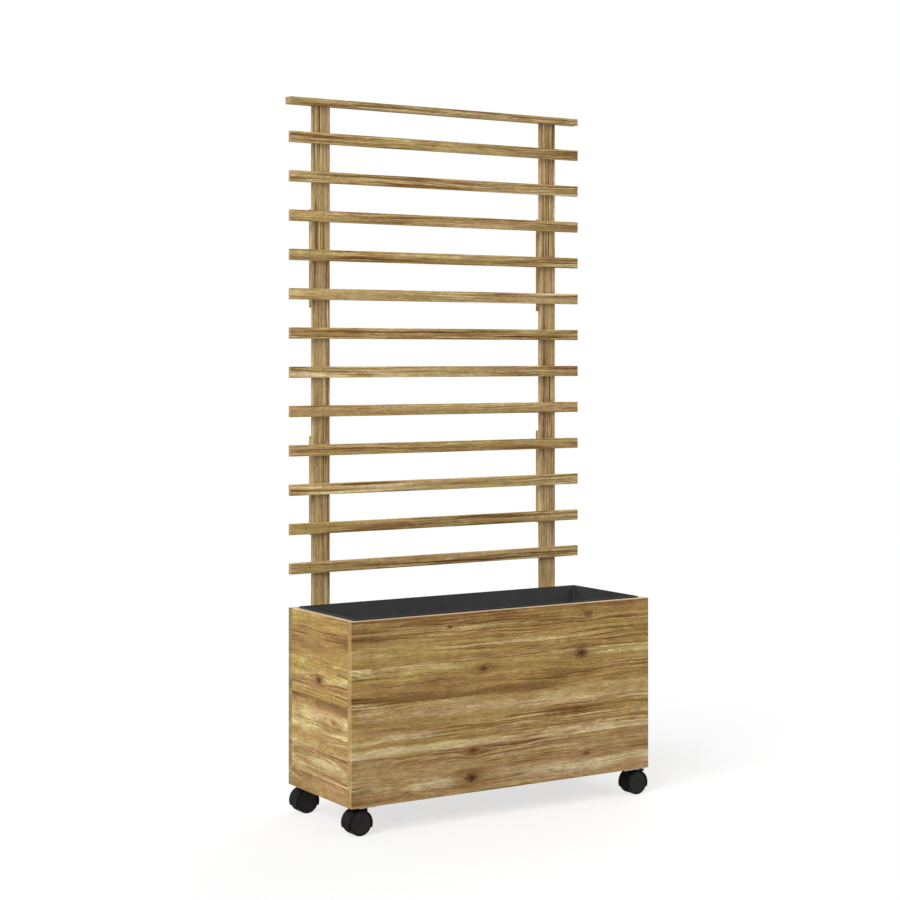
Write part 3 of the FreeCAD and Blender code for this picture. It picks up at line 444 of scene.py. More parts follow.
@dataclass(frozen=True)
class Timber:
    """An oiled wooden surface.

    A band is a height above the trough's lower edge, in metres, and a tone, from -1 for dark to 1
    for pale. A seam is the height above the floor of a glued joint, and each stave between two
    seams has its tint. A knot is a place along the grain, a height above the floor, a size and how
    dark its heart is. The boards of a set differ: their tints run between a deep and a pale one.
    """

    name: str
    grain: Grain = Grain.ALONG_X
    seed: float = 0.0
    contrast: float = 1.0
    figure: float = 0.55
    fineness: float = 1.0
    wander: float = 1.0
    pale: Colour = linear(204, 184, 138)
    middle: Colour = linear(170, 140, 87)
    dark: Colour = linear(120, 84, 42)
    cut_edge: Colour = linear(222, 200, 166)
    end_grain: Colour = linear(164, 136, 80)
    edge_share: float = 0.85
    bands: tuple[Band, ...] = ()
    seams: tuple[float, ...] = ()
    tints: tuple[Colour, ...] = ()
    knots: tuple[Knot, ...] = ()
    is_set: bool = False
    deep_board: Colour = (0.98, 0.96, 0.92)
    pale_board: Colour = (1.16, 1.20, 1.30)
    seed_per_stave: float = 4.7
    seed_per_board: float = 5.17

    def material(self, effects: SharedEffects) -> bpy.types.Material:
        """Builds the material.

        Args:
            effects: The shared node groups.

        Returns:
            The material.
        """
        material, graph, shader = open_material(self.name)
        coordinates = graph.add("ShaderNodeTexCoord")
        x, y, z = graph.split(coordinates.outputs["Object"])
        axes = {Grain.ALONG_X: (x, z, y), Grain.ALONG_Y: (y, z, x), Grain.ALONG_Z: (z, x, y)}[self.grain]
        vector = graph.combine(*axes)
        bend, heart, core, halo = self._knots(graph, effects, vector)
        tone: Number = self._banding(graph, axes[0], z) if self.bands else 0.0
        seed, joint = self._joints(graph, z)
        board: Number = 0.0
        if self.is_set:
            board = graph.add("ShaderNodeAttribute", attribute_name="board").outputs["Fac"]
            seed = graph.sum(seed, graph.product(board, self.seed_per_board))
        wood = graph.group(
            effects.grain, Vector=vector, Bend=bend, Seed=seed, Tone=tone, Contrast=self.contrast,
            Figure=self.figure, Fineness=self.fineness, Wander=self.wander,
            Pale=self.pale, Middle=self.middle, Dark=self.dark,
        )
        coloured = wood.outputs["Color"]
        if self.is_set:
            wave = graph.math("COSINE", graph.sum(graph.product(board, 0.8 * math.pi), 0.2 * math.pi))
            tint = graph.mix(graph.remap(wave, -1.0, 1.0), self.deep_board, self.pale_board)
            coloured = graph.mix(1.0, coloured, tint, mode="MULTIPLY")
        if self.tints:
            stave: Socket | Colour = self.tints[0]
            for seam, above in zip(self.seams, self.tints[1:]):
                stave = graph.mix(graph.math("GREATER_THAN", z, seam), stave, above)
            coloured = graph.mix(1.0, coloured, stave, mode="MULTIPLY")
        if self.seams:
            open_part = graph.remap(graph.noise(graph.product(x, 7.0), detail=1.0), 0.42, 0.62)
            coloured = graph.mix(graph.product(joint, open_part, 0.55), coloured, self.dark)
        if self.knots:
            coloured = graph.mix(graph.product(halo, 0.66), coloured, linear(124, 80, 28))
            coloured = graph.mix(heart, coloured, linear(88, 50, 8))
            coloured = graph.mix(core, coloured, linear(46, 26, 14))
        coloured = self._cut_faces(graph, coordinates.outputs["Normal"], coloured, vector)
        graph.wire(shader, Base_Color=coloured, Roughness=wood.outputs["Roughness"], Specular_IOR_Level=0.28)
        bump(graph, shader, wood.outputs["Height"], 0.35, 0.0004)
        return material

    def _joints(self, graph: Graph, height: Socket) -> tuple[Number, Number]:
        """Finds the glued joints.

        Args:
            graph: The material's graph.
            height: The height above the floor.

        Returns:
            The seed, which changes from stave to stave, and how far each point is a joint.
        """
        seed: Number = self.seed
        joint: Number = 0.0
        for seam in self.seams:
            passed = graph.math("GREATER_THAN", height, seam)
            seed = graph.sum(seed, graph.product(passed, self.seed_per_stave))
            near = graph.math("ABSOLUTE", graph.math("SUBTRACT", height, seam))
            joint = graph.math("MAXIMUM", graph.remap(near, 0.0011, 0.0003), joint)
        return seed, joint

    def _knots(
        self, graph: Graph, effects: SharedEffects, vector: Socket,
    ) -> tuple[Number, Number, Number, Number]:
        """Adds the knots.

        Args:
            graph: The material's graph.
            effects: The shared node groups.
            vector: The grain's coordinates.

        Returns:
            How the grain bends, and how far each point is heart, core and halo.
        """
        bend: Number = 0.0
        masks: dict[str, Number] = {"Heart": 0.0, "Core": 0.0, "Halo": 0.0}
        for along, across, size, darkness in self.knots:
            knot = graph.group(effects.knot, Vector=vector, Along=along, Across=across, Size=size)
            bend = graph.sum(knot.outputs["Bend"], bend)
            for label, share in (("Heart", darkness ** 0.5), ("Core", darkness ** 4), ("Halo", darkness)):
                masks[label] = graph.math("MAXIMUM", graph.product(knot.outputs[label], share), masks[label])
        return bend, masks["Heart"], masks["Core"], masks["Halo"]

    def _banding(self, graph: Graph, along: Socket, height: Socket) -> Socket:
        """Adds the tones of the staves that a wide panel is glued from.

        Args:
            graph: The material's graph.
            along: The coordinate along the grain.
            height: The height above the floor.

        Returns:
            The tone's socket.
        """
        low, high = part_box("front_panel")
        span = high.z - low.z

        def uneven(along_scale: float, cross_scale: float, seed: float, detail: float) -> Socket:
            """Adds noise that is drawn out along the bands."""
            point = graph.combine(graph.product(along, along_scale), graph.product(height, cross_scale), seed)
            return graph.noise(point, detail=detail)

        bent = graph.sum(height, graph.around(uneven(4.0, 15.0, self.seed, 2.5), 0.5, 0.022))
        floor: Number = low.z
        ceiling: Number = self.seams[0]
        edges = (low.z, *self.seams, high.z)
        for below, seam, above in zip(edges, edges[1:], edges[2:]):
            passed = graph.math("GREATER_THAN", height, seam)
            floor = graph.sum(floor, graph.product(passed, seam - below))
            ceiling = graph.sum(ceiling, graph.product(passed, above - seam))
        bent = graph.math("MAXIMUM", bent, graph.sum(floor, 0.0006))
        bent = graph.math("MINIMUM", bent, graph.sum(ceiling, -0.0006))
        share = graph.math("DIVIDE", graph.math("SUBTRACT", bent, low.z), span)
        ramp = graph.add("ShaderNodeValToRGB", share)
        elements = ramp.color_ramp.elements
        elements.remove(elements[-1])
        for index, (level, tone) in enumerate(self.bands):
            element = elements[0] if index == 0 else elements.new(level / span)
            element.position = level / span
            grey = tone / 2 + 0.5
            element.color = (grey, grey, grey, 1.0)
        strength = graph.remap(uneven(6.0, 40.0, self.seed + 3.1, 2.0), 0.30, 0.70, 0.40, 1.35)
        return graph.product(graph.around(ramp.outputs[0], 0.5, 2.0), strength)

    def _cut_faces(self, graph: Graph, normal: Socket, coloured: Socket, vector: Socket) -> Socket:
        """Colours the sawn end grain and the pale cut edges.

        Args:
            graph: The material's graph.
            normal: The object's normal.
            coloured: The colour of the faces.
            vector: The grain's coordinates.

        Returns:
            The colour's socket.
        """
        facing = graph.split(normal)
        ends = {Grain.ALONG_X: 0, Grain.ALONG_Y: 1, Grain.ALONG_Z: 2}[self.grain]
        end_mask = graph.remap(graph.math("ABSOLUTE", facing[ends]), 0.6, 0.9)
        speckle = graph.grey(graph.sum(0.72, graph.product(graph.noise(vector, 420.0, 3.0, 0.7), 0.56)))
        end_colour = graph.mix(1.0, self.end_grain, speckle, mode="MULTIPLY")
        mixed = graph.mix(graph.product(end_mask, 0.60), coloured, end_colour)
        if self.grain is Grain.ALONG_Z:
            return mixed
        top_mask = graph.remap(facing[2], 0.6, 0.9)
        edge_colour = graph.mix(0.35, self.cut_edge, coloured)
        return graph.mix(graph.product(top_mask, self.edge_share), mixed, edge_colour)


@dataclass(frozen=True)
class MouldedPlastic:
    """A moulded plastic surface. Its rims, which face along Y and lie in a narrow gap, can get painted shade.
    """

    name: str
    base: Colour = linear(27, 26, 25)
    worn: Colour = linear(36, 35, 33)
    relief: float = 0.25
    gloss: float = 0.5
    # Whether the rims that face along Y get painted shade: a near-black colour and no gloss.
    rims_get_painted_shade: bool = False

    def material(self, effects: SharedEffects) -> bpy.types.Material:
        """Builds the material.

        Args:
            effects: The shared node groups.

        Returns:
            The material.
        """
        material, graph, shader = open_material(self.name)
        coordinates = graph.add("ShaderNodeTexCoord")
        point = coordinates.outputs["Object"]
        skin = graph.group(effects.moulded_skin, Vector=point, Base=self.base, Worn=self.worn)
        marks = graph.group(effects.scuffs, Vector=point, Scale=24.0)
        dust = graph.product(marks.outputs["Dust"], 0.04)
        scratch = graph.product(marks.outputs["Scratch"], 0.06)
        coloured = graph.mix(dust, skin.outputs["Color"], linear(120, 112, 100))
        coloured = graph.mix(scratch, coloured, linear(96, 94, 92))
        gloss: Number = self.gloss
        if self.rims_get_painted_shade:
            # Painted shade: the rims that face along Y, in the narrow gap, are darkened to near black and
            # lose their gloss.
            facing = graph.split(coordinates.outputs["Normal"])[1]
            rim = graph.remap(graph.math("ABSOLUTE", facing), 0.55, 0.90)
            coloured = graph.mix(rim, coloured, linear(3, 3, 3))
            gloss = graph.around(rim, 1.0, -self.gloss)
        graph.wire(shader, Base_Color=coloured, Roughness=skin.outputs["Roughness"], Specular_IOR_Level=gloss)
        bump(graph, shader, skin.outputs["Height"], self.relief, 0.0002)
        return material


@dataclass(frozen=True)
class Metal:
    """A bare or coated metal surface."""

    name: str
    base: Colour = linear(176, 176, 178)
    metallic: float = 1.0
    smooth: float = 0.30

    def material(self, effects: SharedEffects) -> bpy.types.Material:
        """Builds the material.

        Args:
            effects: The shared node groups.

        Returns:
            The material.
        """
        material, graph, shader = open_material(self.name)
        point = graph.add("ShaderNodeTexCoord").outputs["Object"]
        marks = graph.group(effects.scuffs, Vector=point, Scale=60.0)
        dust = marks.outputs["Dust"]
        dull = graph.mix(graph.product(dust, 0.35), self.base, linear(110, 106, 100))
        rough = graph.sum(self.smooth, graph.product(dust, 0.25))
        graph.wire(shader, Base_Color=dull, Metallic=self.metallic, Roughness=rough)
        bump(graph, shader, marks.outputs["Scratch"], 0.2, 0.0001)
        return material


# Tones of the wide panels' staves, by height above the trough's lower edge.
FRONT_BANDS = (
    (0.012, 0.00), (0.032, 0.85), (0.049, -0.65), (0.072, 0.10), (0.0957, -0.55), (0.0963, 0.75),
    (0.108, 0.75), (0.119, -0.25), (0.130, 0.35), (0.150, -0.20), (0.180, 0.20), (0.2017, 0.45),
    (0.2023, -0.80), (0.217, -0.95), (0.240, 0.15), (0.256, -0.05), (0.2787, 0.95), (0.2793, -0.40),
    (0.304, 0.10), (0.318, -0.30), (0.340, -0.45),
)
END_BANDS = (
    (0.022, -0.20), (0.038, 0.35), (0.054, -0.10), (0.073, 1.00), (0.090, 0.00), (0.0963, 0.10),
    (0.108, -0.20), (0.133, 0.15), (0.156, 0.85), (0.172, 0.05), (0.190, -1.00), (0.2017, -0.50),
    (0.2023, -0.30), (0.246, 0.45), (0.264, -0.15), (0.2793, -0.05), (0.318, -0.65), (0.368, 0.00),
)

# Heights of the glued joints between the staves, above the trough's lower edge.
STAVE_SEAMS = (0.096, 0.202, 0.279)

# The staves' tints, from the lowest, which is greyer, to the uppermost.
STAVE_TINTS = ((1.0, 1.0, 1.15), (1.0, 1.0, 0.99), (1.0, 1.0, 0.88), (1.0, 1.0, 0.88))


@dataclass
class Palette:
    """Every finish of the planter, built once."""

    effects: SharedEffects = field(default_factory=SharedEffects)
    made: dict[str, bpy.types.Material] = field(default_factory=dict)

    def __post_init__(self) -> None:
        """Builds the materials."""
        for finish in (*self.panel_woods(), *self.plain_woods(), *self.plastics_and_metals()):
            self.made[finish.name] = finish.material(self.effects)

    @staticmethod
    def panel_woods() -> tuple[Timber, ...]:
        """Lists the wide panels' finishes, whose knots are measured from each panel's lower corner.

        Returns:
            The finishes.
        """
        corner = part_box("front_panel")[0]
        base = corner.z
        seams = tuple(base + height for height in STAVE_SEAMS)

        def knots(origin: float, *places: Knot) -> tuple[Knot, ...]:
            """Moves knots from a panel's corner to the shared frame."""
            return tuple((origin + along, base + height, size, dark) for along, height, size, dark in places)

        wide = functools.partial(Timber, bands=FRONT_BANDS, seams=seams, tints=STAVE_TINTS)
        end = functools.partial(Timber, grain=Grain.ALONG_Y, bands=END_BANDS, seams=seams, tints=STAVE_TINTS)
        end_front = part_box("left_end_panel")[0].y
        return (
            wide("front stave wood", seed=1.3, knots=knots(
                corner.x,
                (0.233, 0.349, 0.0030, 0.80), (0.315, 0.256, 0.0064, 0.80), (0.290, 0.087, 0.0062, 0.80),
                (0.286, 0.031, 0.0092, 1.00), (0.567, 0.268, 0.0105, 0.90), (0.586, 0.351, 0.0075, 0.42),
                (0.582, 0.050, 0.0045, 0.60), (0.378, 0.372, 0.0024, 0.55),
            )),
            wide("back stave wood", seed=6.1, end_grain=linear(120, 104, 52), knots=knots(
                corner.x,
                (0.140, 0.300, 0.0055, 0.80), (0.450, 0.120, 0.0065, 0.90), (0.620, 0.330, 0.0042, 0.70),
            )),
            end("left end stave wood", seed=11.9, wander=1.3,
                pale=linear(202, 182, 130), middle=linear(163, 133, 78),
                knots=knots(end_front, (0.123, 0.240, 0.0072, 0.95), (0.060, 0.160, 0.0034, 0.45))),
            end("right end stave wood", seed=19.4, wander=0.8,
                knots=knots(end_front, (0.170, 0.110, 0.0055, 0.75), (0.080, 0.290, 0.0044, 0.65))),
        )

    @staticmethod
    def plain_woods() -> tuple[Timber, ...]:
        """Lists the finishes of the hidden boards and of the trellis.

        Returns:
            The finishes.
        """
        raw = functools.partial(
            Timber, contrast=0.5, figure=0.15,
            pale=linear(218, 194, 150), middle=linear(198, 168, 120), dark=linear(150, 112, 70),
        )
        upright = functools.partial(Timber, grain=Grain.ALONG_Z, wander=0.3, dark=linear(116, 82, 46))
        joints = tuple(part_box(f"left_post_{part}")[0].z for part in ("middle", "upper"))
        return (
            raw("raw board", seed=21.0),
            raw("raw batten", grain=Grain.ALONG_Y, seed=25.0),
            Timber("slat wood", seed=31.0, edge_share=0.5, figure=0.3, is_set=True, wander=0.7, contrast=1.9,
                   fineness=1.35, pale=linear(210, 190, 142), middle=linear(176, 150, 98)),
            Timber("rail wood", seed=37.0, edge_share=0.6, contrast=1.5, fineness=1.35, wander=0.6,
                   middle=linear(168, 142, 86)),
            upright("post wood", seed=41.0, contrast=1.8, fineness=2.1, seams=joints,
                    pale=linear(214, 196, 152), middle=linear(180, 155, 108)),
            upright("splice wood", seed=47.0, contrast=1.3, fineness=1.5,
                    pale=linear(208, 186, 144), middle=linear(174, 146, 102)),
        )

    @staticmethod
    def plastics_and_metals() -> tuple[MouldedPlastic | Metal, ...]:
        """Lists the finishes of the liner, the casters and the fasteners.

        Returns:
            The finishes.
        """
        return (
            MouldedPlastic("liner plastic", base=linear(24, 24, 25), worn=linear(34, 34, 34),
                           relief=0.4, gloss=0.45),
            # The caster hoods get painted shade on their rims that face along Y.
            MouldedPlastic("caster plastic", base=linear(9, 9, 8), worn=linear(18, 17, 15),
                           gloss=0.12, rims_get_painted_shade=True),
            MouldedPlastic("wheel plastic", base=linear(20, 18, 16), worn=linear(30, 28, 25),
                           relief=0.15, gloss=0.29),
            MouldedPlastic("lever plastic", base=linear(14, 13, 12), worn=linear(22, 21, 19),
                           relief=0.15, gloss=0.18),
            Metal("zinc steel"),
            Metal("dull brad steel", base=linear(118, 98, 68), metallic=0.4, smooth=0.60),
            Metal("bright zinc steel", base=linear(214, 212, 208), smooth=0.42),
        )

    def dress(self, node: str, finish: str) -> None:
        """Gives a CAD node a finish.

        Args:
            node: The node's name.
            finish: The finish's name.
        """
        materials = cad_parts[node].data.materials
        for index in range(len(materials)):
            materials[index] = self.made[finish]
        if not len(materials):
            materials.append(self.made[finish])


def new_piece(name: str, mesh: bpy.types.Mesh) -> bpy.types.Object:
    """Makes an object of a finished mesh.

    Args:
        name: The piece's name.
        mesh: Its mesh, in the shared frame.

    Returns:
        The object.
    """
    piece = bpy.data.objects.new(name, mesh)
    bpy.context.scene.collection.objects.link(piece)
    return piece


def shade(mesh: bpy.types.Mesh, degrees: float) -> None:
    """Shades a mesh smooth, apart from the edges that are sharper than an angle."""
    mesh.polygons.foreach_set("use_smooth", [True] * len(mesh.polygons))
    mesh.set_sharp_from_angle(angle=math.radians(degrees))


def welded(node: str) -> bmesh.types.BMesh:
    """Copies a CAD node's mesh, with the points joined that lie on each other.

    Args:
        node: The CAD node.

    Returns:
        The copy.
    """
    work = bmesh.new()
    work.from_mesh(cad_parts[node].data)
    bmesh.ops.remove_doubles(work, verts=work.verts, dist=WELD)
    return work


def finished(work: bmesh.types.BMesh, name: str) -> bpy.types.Mesh:
    """Turns a working mesh into a plain one.

    Args:
        work: The working mesh, which is freed.
        name: The new mesh's name.

    Returns:
        The mesh.
    """
    mesh = bpy.data.meshes.new(name)
    work.to_mesh(mesh)
    work.free()
    return mesh


def longest(size: Vector) -> int:
    """Gives the axis along which a vector is longest."""
    return max(range(3), key=lambda axis: abs(size[axis]))


def softened(
    node: str, material: bpy.types.Material, body: str, degrees: float = 32.0,
) -> bpy.types.Object:
    """Stands a smoothly shaded copy of a curved CAD node in its place.

    Args:
        node: The CAD node.
        material: The copy's finish.
        body: The body that it rides on.
        degrees: The angle from which an edge stays sharp.

    Returns:
        The copy.
    """
    work = welded(node)
    bmesh.ops.dissolve_limit(work, angle_limit=math.radians(0.4), verts=work.verts, edges=work.edges)
    bmesh.ops.triangulate(work, faces=[face for face in work.faces if len(face.verts) > 4])
    mesh = finished(work, f"{node}_smooth")
    shade(mesh, degrees)
    mesh.materials.clear()
    mesh.materials.append(material)
    piece = new_piece(f"{node}_smooth", mesh)
    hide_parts(node)
    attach(piece, body)
    return piece


def islands(node: str) -> list[tuple[Vector, Vector]]:
    """Finds the boxes of the separate solids in a CAD node.

    Args:
        node: The CAD node.

    Returns:
        The lowest and highest corner of each solid, in a steady order.
    """
    work = welded(node)
    seen: set[bmesh.types.BMVert] = set()
    boxes = []
    for start in work.verts:
        if start in seen:
            continue
        stack, points = [start], []
        seen.add(start)
        while stack:
            vertex = stack.pop()
            points.append(vertex.co.copy())
            fresh = {edge.other_vert(vertex) for edge in vertex.link_edges} - seen
            seen |= fresh
            stack.extend(fresh)
        low, high = (Vector(end(point[axis] for point in points) for axis in range(3)) for end in (min, max))
        boxes.append((low, high))
    work.free()
    return sorted(boxes, key=lambda box: tuple(round(value, 5) for value in box[0]))


class GeometryTree:
    """A Geometry Nodes tree with named inputs, run once on an object."""

    def __init__(self, name: str, inputs: dict[str, str]) -> None:
        """Starts the tree.

        Args:
            name: The tree's name.
            inputs: Socket kinds by input name.
        """
        self.tree = bpy.data.node_groups.new(name, "GeometryNodeTree")
        self.identifiers: dict[str, str] = {}
        for label, kind in {"Geometry": "Geometry", **inputs}.items():
            socket = self.tree.interface.new_socket(label, in_out="INPUT", socket_type=f"NodeSocket{kind}")
            self.identifiers[label] = socket.identifier
        self.tree.interface.new_socket("Geometry", in_out="OUTPUT", socket_type="NodeSocketGeometry")
        self.graph = Graph(self.tree)
        self.given = self.graph.add("NodeGroupInput").outputs

    def scatter(self, points: Socket, master: Socket, **turns: Socket) -> Socket:
        """Sets copies of an object at points.

        Args:
            points: The points' socket.
            master: The object's socket.
            **turns: The instances' Rotation, where they are turned.

        Returns:
            The instances' socket.
        """
        shape = self.graph.add("GeometryNodeObjectInfo", master, transform_space="ORIGINAL")
        spread = self.graph.add("GeometryNodeInstanceOnPoints", points)
        return self.graph.wire(spread, Instance=shape.outputs["Geometry"], **turns).outputs[0]

    def close(self, geometry: Socket) -> None:
        """Ends the tree in Realize Instances and Set Material.

        Args:
            geometry: The instances' socket.
        """
        real = self.graph.add("GeometryNodeRealizeInstances", geometry)
        finish = self.graph.add("GeometryNodeSetMaterial", real.outputs[0])
        self.graph.wire(finish, Material=self.given["Material"])
        self.graph.add("NodeGroupOutput", finish.outputs[0])

    def run(self, name: str, mesh: bpy.types.Mesh, **values: object) -> bpy.types.Object:
        """Runs the tree and keeps its result as a plain mesh.

        Args:
            name: The piece's name.
            mesh: The mesh that the tree starts from.
            **values: Input values by name, with underscores for spaces.

        Returns:
            The piece.
        """
        carrier = new_piece(f"{name}_carrier", mesh)
        modifier = carrier.modifiers.new("build", "NODES")
        modifier.node_group = self.tree
        for label, value in values.items():
            modifier[self.identifiers[label.replace("_", " ")]] = value
        graph = bpy.context.evaluated_depsgraph_get()
        made = bpy.data.meshes.new_from_object(
            carrier.evaluated_get(graph), preserve_all_data_layers=True, depsgraph=graph,
        )
        made.name = name
        carrier.modifiers.remove(modifier)
        bpy.data.objects.remove(carrier)
        return new_piece(name, made)


class SlatLadder(GeometryTree):
    """Stacks boards at an even pitch, and numbers each one for its finish."""

    def __init__(self) -> None:
        """Builds the tree."""
        super().__init__(
            "slat ladder",
            {"Board": "Object", "Start": "Vector", "Pitch": "Float", "Count": "Int", "Material": "Material"},
        )
        graph, given = self.graph, self.given
        line = graph.wire(
            graph.add("GeometryNodeMeshLine", mode="OFFSET"), Count=given["Count"],
            Start_Location=given["Start"], Offset=graph.combine(0.0, 0.0, given["Pitch"]),
        )
        boards = self.scatter(line.outputs[0], given["Board"])
        number = graph.add("GeometryNodeStoreNamedAttribute", boards, data_type="FLOAT", domain="INSTANCE")
        graph.wire(number, Name="board", Value=graph.add("GeometryNodeInputIndex").outputs[0])
        self.close(number.outputs[0])


class FastenerField(GeometryTree):
    """Sets a fastener at each point, along its facing, turned by a seeded random angle."""

    def __init__(self) -> None:
        """Builds the tree."""
        super().__init__("fastener field", {"Fastener": "Object", "Seed": "Int", "Material": "Material"})
        graph, given = self.graph, self.given
        facing = graph.add("GeometryNodeInputNamedAttribute", "facing", data_type="FLOAT_VECTOR")
        aim = graph.add("FunctionNodeAlignRotationToVector", axis="Z")
        graph.wire(aim, Vector=facing.outputs["Attribute"])
        chance = graph.wire(graph.add("FunctionNodeRandomValue", data_type="FLOAT"), Seed=given["Seed"])
        least, most = [socket for socket in chance.inputs if socket.type == "VALUE"][:2]
        graph.feed(least, 0.0)
        graph.feed(most, math.tau)
        angle = next(socket for socket in chance.outputs if socket.type == "VALUE")
        turn = graph.wire(graph.add("FunctionNodeAxisAngleToRotation"), Axis=(0.0, 0.0, 1.0), Angle=angle)
        spin = graph.add(
            "FunctionNodeRotateRotation", aim.outputs[0], turn.outputs[0], rotation_space="LOCAL",
        )
        self.close(self.scatter(given["Geometry"], given["Fastener"], Rotation=spin.outputs[0]))


def lathe(profile: list[tuple[float, float]], segments: int) -> bmesh.types.BMesh:
    """Turns a profile round the Z axis.

    Args:
        profile: Pairs of radius and height, whose ends may lie on the axis.
        segments: How many sides the turned shape has.

    Returns:
        The closed shape, its faces outwards.
    """
    work = bmesh.new()
    angles = [math.tau * step / segments for step in range(segments)]
    rings = []
    for radius, height in profile:
        rings.append([
            work.verts.new((radius * math.cos(angle), radius * math.sin(angle), height))
            for angle in (angles if radius > 0.0 else angles[:1])
        ])
    for lower, upper in zip(rings, rings[1:]):
        for step in range(segments):
            here, there = step, step + 1
            corners = (
                lower[here % len(lower)], lower[there % len(lower)],
                upper[there % len(upper)], upper[here % len(upper)],
            )
            distinct = tuple(dict.fromkeys(corners))
            if len(distinct) > 2:
                work.faces.new(distinct)
    bmesh.ops.recalc_face_normals(work, faces=work.faces)
    return work


@dataclass
class Trough:
    """The wooden box, its bottom and its liner."""

    palette: Palette
    boards: dict[str, str] = field(default_factory=lambda: {
        "front_panel": "front stave wood",
        "back_panel": "back stave wood",
        "left_end_panel": "left end stave wood",
        "right_end_panel": "right end stave wood",
        "bottom_board": "raw board",
        "left_cross_batten": "raw batten",
        "right_cross_batten": "raw batten",
        "corner_dowels": "raw batten",
    })

    def build(self) -> None:
        """Dresses the boards and makes the liner."""
        for node, finish in self.boards.items():
            self.palette.dress(node, finish)
        softened("liner", self.palette.made["liner plastic"], BODY, 40.0)
        LOG.info("trough: %d boards and a liner", len(self.boards))


@dataclass
class Trellis:
    """The posts with their splices, the slats and the top rail."""

    palette: Palette
    slat_count: int = 12
    edge_round: float = 0.0011
    edge_steps: int = 3

    def build(self) -> None:
        """Dresses the posts and rail and makes the slats."""
        for side in ("left", "right"):
            for part in ("lower", "middle", "upper"):
                self.palette.dress(f"{side}_post_{part}", "post wood")
            for part in ("lower", "upper"):
                self.palette.dress(f"{side}_splice_{part}", "splice wood")
        self.palette.dress("top_rail", "rail wood")
        self.slats()

    def slats(self) -> bpy.types.Object:
        """Makes the slats, with rounded edges.

        Returns:
            The piece.
        """
        names = [f"slat_{number:02d}" for number in range(1, self.slat_count + 1)]
        low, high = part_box(names[0])
        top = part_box(names[-1])[0]
        master = new_piece("slat_master", self.rounded_board(high - low))
        piece = SlatLadder().run(
            "trellis_slats", bpy.data.meshes.new("slat_start"), Board=master, Start=tuple((low + high) / 2),
            Pitch=(top.z - low.z) / (self.slat_count - 1), Count=self.slat_count,
            Material=self.palette.made["slat wood"],
        )
        bpy.data.objects.remove(master)
        shade(piece.data, 40.0)
        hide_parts(*names)
        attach(piece, BODY)
        LOG.info("trellis: %d slats, %d faces", self.slat_count, len(piece.data.polygons))
        return piece

    def rounded_board(self, size: Vector) -> bpy.types.Mesh:
        """Makes a board with rounded edges, centred on the origin.

        Args:
            size: The board's three lengths.

        Returns:
            The mesh.
        """
        work = bmesh.new()
        bmesh.ops.create_cube(work, size=1.0)
        bmesh.ops.scale(work, vec=size, verts=work.verts)
        bmesh.ops.bevel(
            work, geom=work.edges[:], offset=self.edge_round, segments=self.edge_steps, profile=0.5,
            affect="EDGES", clamp_overlap=True,
        )
        return finished(work, "slat_board")


